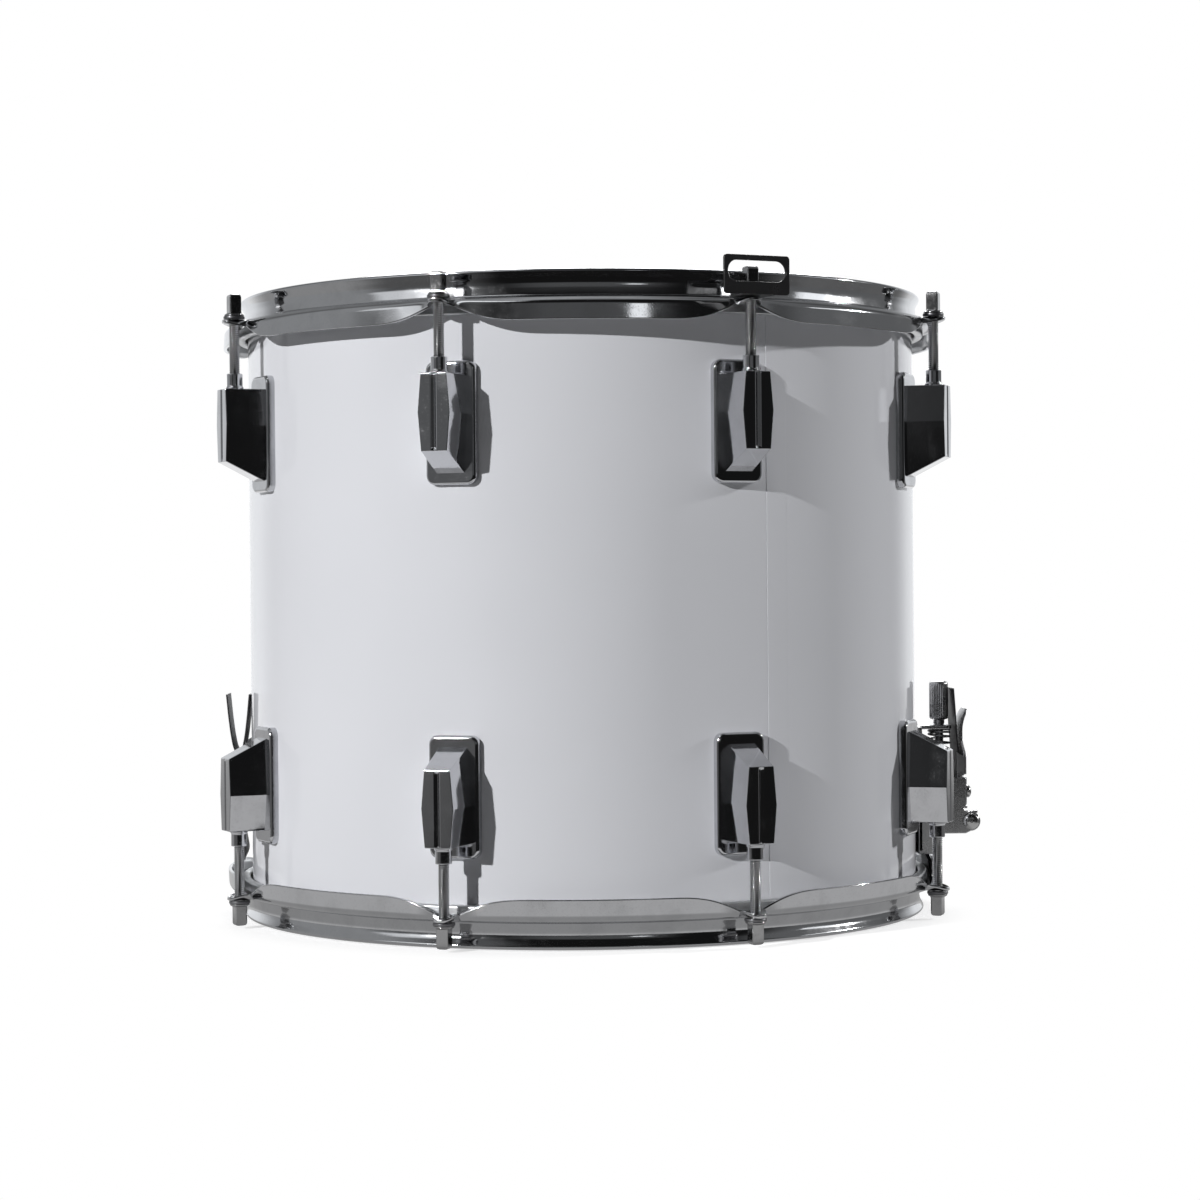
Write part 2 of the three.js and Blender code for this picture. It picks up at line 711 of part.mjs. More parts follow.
// The carriage that slides on the base: back, bridge with the threaded boss, and two cheeks
function makeCarriage() {
  const back = backFace + base.metal + seat;
  const reach = wrapRadius + carriage.reach;
  const low = carriageTop - carriage.height;
  const inner = carriage.innerHalf;
  const outer = inner + carriage.metal;
  const notchZ = carriageTop - carriage.frontLength;
  const cheek = new THREE.Shape();
  cheek.moveTo(back, carriageTop);
  cheek.lineTo(back, low + carriage.heel);
  cheek.lineTo(back + carriage.heel, low);
  cheek.lineTo(pivotX - pivot.lobe / 2, low);
  cheek.absarc(pivotX, pivotZ, pivot.lobe, -Math.PI / 2, (5 * Math.PI) / 8);
  cheek.lineTo(reach - carriage.notch, notchZ - carriage.notchDrop);
  cheek.lineTo(reach, notchZ);
  cheek.lineTo(reach, carriageTop);
  const wall = block([back, back + carriage.backMetal], [-outer, outer], [low + carriage.heel, carriageTop]);
  const bridgeLow = carriageTop - carriage.bridge;
  const bridge = block([back, wrapRadius + carriage.bridgeReach], [-outer, outer], [bridgeLow, carriageTop]);
  const boss = bar(carriage.bossRadius, bridgeLow, bossTop, knobFacets).translate(knobX, 0, 0);
  const whole = join(drawnY(cheek, inner, outer), drawnY(cheek, -outer, -inner), wall, bridge, boss);
  const thread = bar(knob.screwRadius + running, bridgeLow - overrun, bossTop + overrun, shankFacets);
  const pin = alongY(bar(pivot.screwRadius + running, -outer - overrun, outer + overrun, shankFacets));
  const tools = [thread.translate(knobX, 0, 0), pin.translate(pivotX, 0, pivotZ)];
  add("strainer_carriage", geometryOf(cut(whole, ...tools)), chrome);
}

// A pivot screw through each cheek into the lever's arm
function makePivotScrews() {
  const outer = carriage.innerHalf + carriage.metal + seat;
  const tip = lever.armInner + seat;
  const dome = pivot.headHeight;
  const profile = [
    [0, tip],
    [pivot.screwRadius, tip],
    [pivot.screwRadius, outer],
    [pivot.headRadius, outer],
    [pivot.headRadius * 0.92, outer + dome * 0.5],
    [pivot.headRadius * 0.6, outer + dome * 0.9],
    [0, outer + dome],
  ];
  const screw = () => turned(profile, shankFacets);
  add("strainer_pivot_screw_back", alongY(screw()).translate(pivotX, 0, pivotZ), steel);
  add("strainer_pivot_screw_front", alongY(screw()).rotateZ(Math.PI).translate(pivotX, 0, pivotZ), steel);
}

// The lever: a face plate with an outward tip, two arms down to the pivot, and an eccentric stud on each arm
function makeLever() {
  const outer = wrapRadius + lever.face;
  const inner = outer - lever.metal;
  const low = carriageTop + lever.lowerInset;
  const shoulder = low + lever.shoulderRise;
  const top = pivotZ + lever.length;
  const bendZ = top - lever.bend;
  const armOuter = lever.armInner + lever.armMetal;
  const face = new THREE.Shape();
  face.moveTo(outer, low);
  face.lineTo(outer, bendZ);
  face.quadraticCurveTo(outer, top - lever.bend / 3, outer + lever.flare, top);
  face.lineTo(outer + lever.flare - lever.metal, top + lever.metal / 3);
  face.quadraticCurveTo(inner, top - lever.bend / 3, inner, bendZ);
  face.lineTo(inner, low);
  const wide = block([inner, outer], [-armOuter, armOuter], [low, shoulder]);
  const arm = new THREE.Shape();
  const armBack = inner - lever.armDepth;
  arm.moveTo(armBack, shoulder);
  arm.lineTo(armBack, pivotZ);
  arm.lineTo(pivotX - lever.knuckle / 2, pivotZ - lever.knuckle);
  arm.absarc(pivotX, pivotZ, lever.knuckle, -Math.PI / 2, Math.PI / 2);
  arm.lineTo(inner - lever.metal, pivotZ + lever.knuckle + lever.metal);
  arm.lineTo(inner - lever.metal, low - lever.metal);
  arm.lineTo(outer - lever.metal / 2, low);
  arm.lineTo(outer - lever.metal / 2, shoulder);
  const turn = Math.PI / 4;
  const [studX, studZ] = [pivotX + eccentric.offset * Math.cos(turn), pivotZ + eccentric.offset * Math.sin(turn)];
  const arms = [1, -1].flatMap((side) => {
    const span = [side * lever.armInner, side * armOuter].sort((a, b) => a - b);
    const stud = [side * eccentric.inner, side * (lever.armInner + lever.armMetal / 4)].sort((a, b) => a - b);
    return [drawnY(arm, ...span), alongY(bar(eccentric.radius, ...stud, shankFacets)).translate(studX, 0, studZ)];
  });
  const bores = [1, -1].map((side) => {
    const span = [side * (lever.armInner + seat / 2), side * (armOuter + overrun)].sort((a, b) => a - b);
    return alongY(bar(pivot.screwRadius + running, ...span, shankFacets)).translate(pivotX, 0, pivotZ);
  });
  const whole = join(drawnY(face, -lever.tipHalf, lever.tipHalf), wide, ...arms);
  add("strainer_lever", geometryOf(cut(whole, ...bores)), chrome);
}

// The clamp block between the arms, with a forked foot round each eccentric stud
function makeClampBlock() {
  const [inner, face] = [wrapRadius + clamp.blockInner, wrapRadius + clamp.blockFace];
  const studZ = pivotZ + eccentric.offset * Math.SQRT1_2;
  const studX = pivotX + eccentric.offset * Math.SQRT1_2;
  const room = eccentric.radius + running;
  const footHalf = room + clamp.footWall;
  const footLow = studZ - footHalf;
  const main = block([inner, face], [-clamp.halfWidth, clamp.halfWidth], [clampTop - clamp.height, clampTop]);
  const legs = [1, -1].flatMap((side) => {
    const span = [side * clamp.footInner, side * clamp.halfWidth].sort((a, b) => a - b);
    const leg = block([inner, face], span, [footLow, clampTop - clamp.height / 2]);
    const foot = block([inner, wrapRadius + clamp.footReach], span, [footLow, studZ + footHalf]);
    return [leg, foot];
  });
  const slot = block(
    [studX - room, wrapRadius + clamp.footReach + overrun],
    [-clamp.halfWidth - overrun, clamp.halfWidth + overrun],
    [studZ - room, studZ + room],
  );
  const holes = [1, -1].map((side) => {
    const hole = alongX(bar(clampScrew.radius + running, inner - overrun, face + overrun, shankFacets));
    return hole.translate(0, side * clampScrew.spread, clampScrewZ);
  });
  add("strainer_clamp_block", geometryOf(cut(join(main, ...legs), slot, ...holes)), chrome);
}

// A clamp plate with its two screws, at a place along X
function makeClampPlate(name, back, metal, half, low, top, screwZ, material, parent) {
  const plate = solid(block([back, back + metal], [-half, half], [low, top]));
  const holes = [1, -1].map((side) => {
    const hole = alongX(bar(clampScrew.radius + running, back - overrun, back + metal + overrun, shankFacets));
    return hole.translate(0, side * clampScrew.spread, screwZ);
  });
  add(name, geometryOf(cut(plate, ...holes)), material, parent);
}

function makeClampScrews(name, under, tip, screwZ, parent) {
  const profile = [
    [0, tip],
    [clampScrew.radius, tip],
    [clampScrew.radius, under],
    [clampScrew.headRadius, under],
    [clampScrew.headRadius * 0.9, under + clampScrew.headHeight * 0.6],
    [clampScrew.headRadius * 0.5, under + clampScrew.headHeight],
    [0, under + clampScrew.headHeight],
  ];
  const sides = { front: -1, back: 1 };
  for (const [side, sign] of Object.entries(sides)) {
    const screw = alongX(turned(profile, shankFacets)).translate(0, sign * clampScrew.spread, screwZ);
    add(name + "_" + side, screw, steel, parent);
  }
}

// The butt, on the -X side: its group is turned half round, so it is built along +X
const buttSide = new THREE.Group();
buttSide.rotation.z = Math.PI;
drum.add(buttSide);
const buttFace = wrapRadius + butt.blockReach;
const buttStrapX = buttFace + seat + strapThickness + strap.layerGap / 2;
const buttPlateBack = buttStrapX + strap.layerGap / 2 + strapThickness + seat;
const buttScrewZ = buttTop - butt.height / 2;

function makeButt() {
  const plate = block([backFace, backFace + butt.metal], [-butt.width / 2, butt.width / 2], [buttTop - butt.height, buttTop]);
  const levels = [buttTop - butt.height + butt.blockInset, buttTop - butt.blockInset];
  const pad = block([backFace, buttFace], [-butt.halfWidth, butt.halfWidth], levels);
  const screws = buttScrewLevels.map((z) => shellScrew(buttFace - butt.metal / 2, z));
  const depth = [backFace + butt.metal / 2, buttFace + overrun];
  const holes = [1, -1].map((side) => {
    const hole = alongX(bar(clampScrew.radius + running, ...depth, shankFacets));
    return hole.translate(0, side * clampScrew.spread, buttScrewZ);
  });
  add("butt_base", geometryOf(cut(join(plate, pad, ...screws), ...holes)), chrome, buttSide);
  makeClampPlate("butt_clamp_plate", buttPlateBack, butt.plateMetal, butt.halfWidth, ...levels, buttScrewZ, chrome, buttSide);
  const under = buttPlateBack + butt.plateMetal + seat;
  makeClampScrews("butt_clamp_screw", under, backFace + butt.metal / 2 + seat, buttScrewZ, buttSide);
}

// The snare wires' levels under the snare head
const filmUnder = -filmTop;
const wiresTop = filmUnder - seat;
const layerOffset = (strap.layerGap + strapThickness) / 2;
const barTop = filmUnder - 2 * seat - strapThickness;
const barMiddle = barTop - wires.plateMetal / 2;
const barOffset = wires.plateMetal / 2 + seat + strapThickness / 2;
const barEnd = wrapRadius - strap.foldInset;

// A strip of even thickness along a line in X and Z, as a closed outline
function stripOutline(line, thickness) {
  const points = line.map(([x, z]) => new THREE.Vector2(x, z));
  const left = [];
  const right = [];
  points.forEach((point, i) => {
    const before = points[Math.max(0, i - 1)];
    const after = points[Math.min(points.length - 1, i + 1)];
    const into = point.clone().sub(before).normalize();
    const out = after.clone().sub(point).normalize();
    const mean = into.clone().add(out).normalize();
    const normal = new THREE.Vector2(-mean.y, mean.x);
    const bend = into.lengthSq() && out.lengthSq() ? mean.dot(out) : 1;
    const half = thickness / 2 / bend;
    left.push([point.x + normal.x * half, point.y + normal.y * half]);
    right.push([point.x - normal.x * half, point.y - normal.y * half]);
  });
  return outline([...left, ...right.reverse()]);
}

// A strap: two layers of one strip, folded round the wires' bar, led through the gate and up to its clamp.
// Each stop is a place of the pair's middle and half its spread; the tails are lists of their own.
function strapGeometry(stops, outerTail, innerTail) {
  const middle = stops.map(([x, z]) => new THREE.Vector2(x, z));
  const shifted = (side) =>
    stops.map(([x, z, spread], i) => {
      const before = middle[Math.max(0, i - 1)];
      const after = middle[Math.min(middle.length - 1, i + 1)];
      const into = middle[i].clone().sub(before).normalize();
      const out = after.clone().sub(middle[i]).normalize();
      const mean = into.add(out).normalize();
      return [x + mean.y * side * spread, z - mean.x * side * spread];
    });
  const fold = [];
  const foldSteps = 4;
  const [foldX, foldZ, foldSpread] = stops[0];
  for (let i = 1; i < foldSteps; i += 1) {
    const angle = Math.PI / 2 + (Math.PI * i) / foldSteps;
    fold.push([foldX + foldSpread * Math.cos(angle), foldZ + foldSpread * Math.sin(angle)]);
  }
  const lower = shifted(1);
  const upper = shifted(-1);
  const line = [...innerTail.slice().reverse(), ...upper.slice().reverse(), ...fold, ...lower, ...outerTail];
  return drawnY(stripOutline(line, strapThickness), -strapWidth / 2, strapWidth / 2);
}

// The stops that both straps share: out from the bar, through the gate and up past the flesh hoop
function sharedStops() {
  const gateX = wrapRadius + strap.turnGap;
  const turn = strap.turnGap;
  const round = [15, 45, 75].map((degrees) => {
    const angle = THREE.MathUtils.degToRad(degrees - 90);
    return [gateX - turn + turn * Math.cos(angle), barMiddle + turn + turn * Math.sin(angle), layerOffset];
  });
  return [
    [barEnd, barMiddle, barOffset],
    [barEnd + wires.barWidth * 2, barMiddle, barOffset],
    [gateX - turn * 2, barMiddle, layerOffset],
    ...round,
    [gateX, barMiddle + turn + strap.upright, layerOffset],
  ];
}

function makeStraps() {
  const lowZ = -(edge - strap.lowDrop);
  const lowX = wrapRadius + strap.lowGap;
  const clampLow = clampTop - clamp.height;
  const strainerStops = [
    ...sharedStops(),
    [lowX, lowZ, layerOffset],
    [wrapRadius + strap.elbowGap, lowZ + strap.elbowRise, layerOffset],
    [strapX, clampLow - strap.clampTravel, layerOffset],
    [strapX, clampTop + strap.layerGap, layerOffset],
  ];
  const tailTop = clampTop + strap.strainerTailRise;
  const strainerOuter = [[strapX + layerOffset - strap.strainerTailLean, tailTop]];
  add("strainer_strap", strapGeometry(strainerStops, strainerOuter, []), blackPlastic);

  const buttLow = buttTop - butt.height;
  const buttStops = [
    ...sharedStops(),
    [lowX, lowZ, layerOffset],
    [buttStrapX, buttLow + strap.layerGap, layerOffset],
    [buttStrapX, buttTop - butt.blockInset, layerOffset],
  ];
  const tail = (side) => {
    const spread = strap.buttTailSpread * side;
    const rises = [0.35, 1].map((share) => [Math.sqrt(share) * spread, share * strap.buttTailRise]);
    return rises.map(([x, z]) => [buttStrapX + side * layerOffset + x, buttTop - butt.blockInset + z]);
  };
  add("butt_strap", strapGeometry(buttStops, tail(1), tail(-1)), blackPlastic, buttSide);
}

// The snare wires: strands soldered to an end plate at each side, with a slot for the strap
function makeWires() {
  const inner = barEnd - wires.slot;
  const outer = barEnd + wires.barWidth + seat * 3 + strapThickness * 2;
  const half = wires.plateWidth / 2;
  const levels = [barTop - wires.plateMetal, barTop];
  const slotHalf = strapWidth / 2 + seat;
  const solids = [1, -1].map((side) => {
    const span = [side * (outer - wires.plateLength), side * outer].sort((a, b) => a - b);
    const slotSpan = [side * inner, side * (barEnd + seat)].sort((a, b) => a - b);
    const slot = block(slotSpan, [-slotHalf, slotHalf], [levels[0] - overrun, levels[1] + overrun]);
    return cut(solid(block(span, [-half, half], levels)), slot);
  });
  const reach = inner - wires.side;
  for (let i = 0; i < wires.count; i += 1) {
    const y = (i - (wires.count - 1) / 2) * wires.pitch;
    const depth = [barTop - wires.plateMetal / 2, wiresTop];
    solids.push(solid(block([-reach, reach], [y - wires.side / 2, y + wires.side / 2], depth)));
  }
  add("snare_wires", geometryOf(solids.reduce((all, next) => all.add(next))), steel);
}

makeShell();
makeWrap();
makeVent();
add("batter_head", filmGeometry(), coatedFilm, batterSide);
add("snare_head", filmGeometry(), clearFilm, snareSide);
add("batter_flesh_hoop", fleshHoopGeometry(), aluminium, batterSide);
add("snare_flesh_hoop", fleshHoopGeometry(), aluminium, snareSide);
add("batter_hoop", hoopGeometry([]), chrome, batterSide);
add("snare_hoop", hoopGeometry([0, Math.PI]), chrome, snareSide);

// Lugs and rods run anticlockwise from the strainer, seen from above; those of the snare side lie below
// the batter side's of the same number
const bracketPlace = 7;
const lugShape = lugGeometry();
const rodShape = rodGeometry(0);
const raisedRodShape = rodGeometry(bracket.metal + seat);
for (let k = 1; k <= lugCount; k += 1) {
  const turn = firstTurn + (k - 1) * pitch;
  add("batter_lug_" + k, lugShape, chrome, batterSide, turn);
  add("snare_lug_" + k, lugShape, chrome, snareSide, -turn);
  add("batter_tension_rod_" + k, k === bracketPlace ? raisedRodShape : rodShape, chrome, batterSide, turn);
  add("snare_tension_rod_" + k, rodShape, chrome, snareSide, -turn);
}
add("sling_bracket", bracketGeometry(), blackPaint, batterSide, firstTurn + (bracketPlace - 1) * pitch);

makeStrainerBase();
makeKnob();
makeSpring();
makeCarriage();
makePivotScrews();
makeLever();
makeClampBlock();
const plateLow = carriageTop - clamp.plateHeight;
makeClampPlate(
  "strainer_clamp_plate",
  clampPlateBack,
  clamp.plateMetal,
  clamp.halfWidth,
  plateLow,
  carriageTop,
  clampScrewZ,
  chrome,
  drum,
);
const clampScrewUnder = clampPlateBack + clamp.plateMetal + seat;
makeClampScrews("strainer_clamp_screw", clampScrewUnder, wrapRadius + clamp.blockInner - clampScrew.tip, clampScrewZ, drum);
makeButt();
makeStraps();
makeWires();

export default model;
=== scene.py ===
"""Looks of a marching snare drum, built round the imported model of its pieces.

Sizes here are in millimetres about the drum's middle: +Z is up, +X is the strainer's side and -Y the front.
Each mesh is written in metres in the part's own frame, whose origin is the middle of the batter head.
"""

import functools
import logging
import math
from collections.abc import Iterator, Sequence
from dataclasses import dataclass, field
from enum import Enum

import bmesh
import bpy
import numpy as np
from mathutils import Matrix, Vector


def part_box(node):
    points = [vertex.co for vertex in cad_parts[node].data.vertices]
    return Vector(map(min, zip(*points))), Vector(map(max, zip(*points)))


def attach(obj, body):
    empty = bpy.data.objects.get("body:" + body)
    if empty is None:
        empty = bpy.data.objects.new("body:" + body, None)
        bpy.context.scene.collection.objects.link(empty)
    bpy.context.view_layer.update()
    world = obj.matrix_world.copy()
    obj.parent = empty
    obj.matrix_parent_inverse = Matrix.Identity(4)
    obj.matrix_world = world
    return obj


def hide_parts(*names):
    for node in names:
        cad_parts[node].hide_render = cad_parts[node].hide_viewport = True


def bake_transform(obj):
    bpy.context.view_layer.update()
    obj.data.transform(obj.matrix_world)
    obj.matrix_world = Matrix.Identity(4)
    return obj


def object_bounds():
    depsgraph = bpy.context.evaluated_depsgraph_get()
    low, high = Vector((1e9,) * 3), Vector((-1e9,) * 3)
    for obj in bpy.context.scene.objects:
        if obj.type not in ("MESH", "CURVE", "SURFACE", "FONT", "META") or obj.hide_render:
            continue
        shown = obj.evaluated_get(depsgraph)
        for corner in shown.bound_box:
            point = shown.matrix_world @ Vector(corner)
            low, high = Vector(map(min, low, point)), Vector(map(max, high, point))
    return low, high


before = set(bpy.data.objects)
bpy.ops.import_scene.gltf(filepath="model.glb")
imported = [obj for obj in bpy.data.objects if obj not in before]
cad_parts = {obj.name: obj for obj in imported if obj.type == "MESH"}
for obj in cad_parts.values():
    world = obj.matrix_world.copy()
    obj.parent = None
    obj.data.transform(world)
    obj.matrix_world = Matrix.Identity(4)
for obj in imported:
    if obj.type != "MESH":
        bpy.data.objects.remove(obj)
CAD_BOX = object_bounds()

MM = 0.001
TURN = 2 * np.pi
HALF_TURN = 180.0
RODS = 8
BLACK = (0.0, 0.0, 0.0, 1.0)
WHITE = (1.0, 1.0, 1.0, 1.0)
log = logging.getLogger("marching_snare")


# Meshes


class End(Enum):
    """How a row of rings ends."""

    OPEN = "open"
    FLAT = "flat"
    JOINED = "joined"


class Axis(Enum):
    """The axis that a shape is turned round or drawn along, with the order of its coordinates."""

    X = (1, 2, 0)
    Y = (0, 2, 1)
    Z = (0, 1, 2)

    def place(self, across: np.ndarray, up: np.ndarray, along: np.ndarray | float) -> np.ndarray:
        """Points from two coordinates across this axis and one along it.

        Args:
            across: the first coordinate across the axis.
            up: the second coordinate across the axis.
            along: the coordinate along the axis.

        Returns:
            An array whose last dimension is X, Y and Z.
        """
        values = np.stack(np.broadcast_arrays(across, up, along), axis=-1)
        points = np.empty_like(values, dtype=float)
        points[..., list(self.value)] = values
        return points


class Side(Enum):
    """Which head a piece belongs to; the snare side is the batter side turned half round X."""

    BATTER = "batter"
    SNARE = "snare"


@dataclass
class Patch:
    """Part of a mesh.

    Args:
        points: corners, one row of X, Y and Z each.
        faces: arrays of corner numbers, one array for each count of corners in a face.
    """

    points: np.ndarray
    faces: list[np.ndarray]

    def volume(self) -> float:
        """Returns the signed volume: a sixth of the sum of a . (b x c) over each face's fan of triangles."""
        total = 0.0
        for group in self.faces:
            first = self.points[group[:, 0]]
            for k in range(1, group.shape[1] - 1):
                crossed = np.cross(self.points[group[:, k]], self.points[group[:, k + 1]])
                total += float(np.sum(first * crossed))
        return total / 6

    def outward(self) -> "Patch":
        """Returns this closed patch with its faces pointing out."""
        if self.volume() > 0:
            return self
        return Patch(self.points, [group[:, ::-1] for group in self.faces])

    def moved(self, x: float = 0.0, y: float = 0.0, z: float = 0.0) -> "Patch":
        """Returns this patch moved along the axes."""
        return Patch(self.points + np.array([x, y, z]), self.faces)

    def turned(self, angle: float) -> "Patch":
        """Returns this patch turned about Z by an angle in degrees."""
        cosine, sine = math.cos(math.radians(angle)), math.sin(math.radians(angle))
        matrix = np.array([[cosine, sine, 0], [-sine, cosine, 0], [0, 0, 1]])
        return Patch(self.points @ matrix, self.faces)

    def mirrored(self) -> "Patch":
        """Returns this patch mirrored from +Y to -Y, its faces still pointing out."""
        return Patch(self.points * np.array([1, -1, 1]), [group[:, ::-1] for group in self.faces])

    def on(self, side: Side) -> "Patch":
        """Returns this patch as it lies on a side: as built, or turned half round X."""
        if side is Side.BATTER:
            return self
        return Patch(self.points * np.array([1, -1, -1]), self.faces)


def tube(rings: np.ndarray, ends: End = End.FLAT) -> Patch:
    """A surface through a row of closed rings: ring i's place j joins its neighbours in both directions.

    Args:
        rings: points as (rings, places, 3).
        ends: whether the row is left open, closed by flat faces, or joined to itself.

    Returns:
        The patch, pointing out where it is closed.
    """
    rows, places = rings.shape[:2]
    near = np.arange(places)
    far = (near + 1) % places
    row = np.arange(rows if ends is End.JOINED else rows - 1)[:, None]
    after = (row + 1) % rows
    cells = [row * places + near, row * places + far, after * places + far, after * places + near]
    faces = [np.stack(cells, axis=-1).reshape(-1, 4)]
    if ends is End.FLAT:
        faces += [near[None, ::-1], near[None, :] + (rows - 1) * places]
    patch = Patch(rings.reshape(-1, 3), faces)
    return patch if ends is End.OPEN else patch.outward()


def slab(front: np.ndarray, back: np.ndarray) -> Patch:
    """A closed solid between two grids of points that share their rows and columns.

    Args:
        front: points as (rows, columns, 3).
        back: the same for the other face.

    Returns:
        Both grids and the walls between their borders.
    """
    rows, columns = front.shape[:2]
    number = np.arange(rows * columns).reshape(rows, columns)
    cells = [number[:-1, :-1], number[:-1, 1:], number[1:, 1:], number[1:, :-1]]
    face = np.stack(cells, axis=-1).reshape(-1, 4)
    border = np.concatenate([number[0, :-1], number[:-1, -1], number[-1, :0:-1], number[:0:-1, 0]])
    after = np.roll(border, -1)
    deep = rows * columns
    wall = np.stack([after, border, border + deep, after + deep], axis=-1)
    points = np.concatenate([front.reshape(-1, 3), back.reshape(-1, 3)])
    return Patch(points, [face, face[:, ::-1] + deep, wall]).outward()


def lathe(profile: np.ndarray, steps: int = 96, axis: Axis = Axis.Z, ends: End = End.FLAT) -> Patch:
    """A profile turned about an axis: each point of radius r and height h gives a ring of that radius.

    Args:
        profile: radius and height of each point.
        steps: places round the axis.
        axis: what it turns about.
        ends: flat for a profile that starts and ends near the axis, joined for a closed one.

    Returns:
        The turned patch.
    """
    angle = np.arange(steps) * TURN / steps
    radius, height = profile[:, :1], profile[:, 1:]
    return tube(axis.place(radius * np.cos(angle), radius * np.sin(angle), height), ends)


def stack(outlines: Sequence[np.ndarray], levels: Sequence[float | np.ndarray], axis: Axis = Axis.Z,
          ends: End = End.FLAT) -> Patch:
    """A surface through outlines that lie one after another along an axis.

    Args:
        outlines: points across the axis, as many in each.
        levels: where each outline, or each of its points, lies along the axis.
        axis: what they follow.
        ends: flat, or joined for a ring.

    Returns:
        The patch.
    """
    places = zip(outlines, levels)
    return tube(np.array([axis.place(line[:, 0], line[:, 1], level) for line, level in places]), ends)


def prism(outline: np.ndarray, low: float, high: float, axis: Axis = Axis.Z) -> Patch:
    """A closed outline drawn along an axis between two places, with flat ends."""
    return stack([outline, outline], [low, high], axis)


def eased(corners: np.ndarray, cut: float | np.ndarray, steps: int = 4, closed: bool = True) -> np.ndarray:
    """A path with round corners. A corner P becomes the curve (1-t)^2 S + 2t(1-t) P + t^2 E.

    S and E lie a cut's length from P on the edges before and after it, and never past the edges' middles.

    Args:
        corners: points as (..., corners, dimensions).
        cut: the length cut back, for all corners or for each.
        steps: points of each curve, less one.
        closed: whether the path closes; the ends of an open one stay where they are.

    Returns:
        The rounded path as (..., points, dimensions).
    """
    before = np.roll(corners, 1, axis=-2) - corners
    after = np.roll(corners, -1, axis=-2) - corners
    cuts = np.broadcast_to(np.asarray(cut, dtype=float), corners.shape[:-1])[..., None]
    legs = []
    for leg in (before, after):
        length = np.linalg.norm(leg, axis=-1, keepdims=True)
        legs.append(corners + leg * np.minimum(cuts / np.maximum(length, 1e-9), 0.48))
    t = np.linspace(0, 1, steps + 1)[:, None]
    start, end = legs[0][..., None, :], legs[1][..., None, :]
    curves = (1 - t) ** 2 * start + 2 * t * (1 - t) * corners[..., None, :] + t**2 * end
    if closed:
        return curves.reshape(*corners.shape[:-2], -1, corners.shape[-1])
    inner = curves[..., 1:-1, :, :].reshape(*corners.shape[:-2], -1, corners.shape[-1])
    return np.concatenate([corners[..., :1, :], inner, corners[..., -1:, :]], axis=-2)


def arc(centre: tuple[float, float], radius: float, start: float, stop: float, steps: int = 12) -> np.ndarray:
    """Points of a circle between two angles in degrees."""
    angle = np.radians(np.linspace(start, stop, steps + 1))
    return np.stack([centre[0] + radius * np.cos(angle), centre[1] + radius * np.sin(angle)], axis=-1)


def round_box(width: float, height: float, corner: float, centre: tuple[float, float] = (0, 0),
              steps: int = 6) -> np.ndarray:
    """A rectangle's outline with round corners, four arcs anticlockwise from its lower right."""
    x, y = width / 2 - corner, height / 2 - corner
    middles = [(x, -y), (x, y), (-x, y), (-x, -y)]
    arcs = [
        arc((centre[0] + a, centre[1] + b), corner, 90 * k - 90, 90 * k, steps)
        for k, (a, b) in enumerate(middles)
    ]
    return np.concatenate(arcs)


def inset_box(width: float, height: float, corner: float, inset: float) -> np.ndarray:
    """The outline of a round-cornered rectangle drawn in by an inset on every side."""
    return round_box(width - 2 * inset, height - 2 * inset, max(corner - inset, 0.2))


def box(x: tuple[float, float], y: tuple[float, float], z: tuple[float, float]) -> Patch:
    """A block between two corners."""
    outline = np.array([[x[0], y[0]], [x[1], y[0]], [x[1], y[1]], [x[0], y[1]]], dtype=float)
    return prism(outline, z[0], z[1])


def soft_step(value: np.ndarray, low: float, high: float) -> np.ndarray:
    """Zero below one value and one above another, with t^2 (3 - 2t) between them."""
    t = np.clip((value - low) / (high - low), 0, 1)
    return t * t * (3 - 2 * t)


def bevelled(patch: Patch, width: float, steps: int = 2, limit: float = 25.0) -> Patch:
    """A closed patch with its sharp edges rounded by strips of faces.

    Args:
        patch: what is bevelled.
        width: how far each edge is cut back.
        steps: faces across each strip.
        limit: the least turn between two faces, in degrees, of an edge that is cut.

    Returns:
        The bevelled patch.
    """
    mesh = bpy.data.meshes.new("bevel")
    mesh.from_pydata(patch.points.tolist(), [], [face for group in patch.faces for face in group.tolist()])
    work = bmesh.new()
    work.from_mesh(mesh)
    least = math.radians(limit)
    edges = [edge for edge in work.edges if edge.is_manifold and edge.calc_face_angle() > least]
    bmesh.ops.bevel(work, geom=edges, offset=width, segments=steps, profile=0.5, affect="EDGES")
    work.to_mesh(mesh)
    work.free()
    points = np.empty(len(mesh.vertices) * 3)
    mesh.vertices.foreach_get("co", points)
    corners = np.empty(len(mesh.loops), dtype=int)
    mesh.loops.foreach_get("vertex_index", corners)
    starts = np.empty(len(mesh.polygons), dtype=int)
    mesh.polygons.foreach_get("loop_start", starts)
    counts = np.diff(np.append(starts, len(corners)))
    bpy.data.meshes.remove(mesh)
    faces = [corners[starts[counts == n][:, None] + np.arange(n)] for n in np.unique(counts)]
    return Patch(points.reshape(-1, 3), faces)


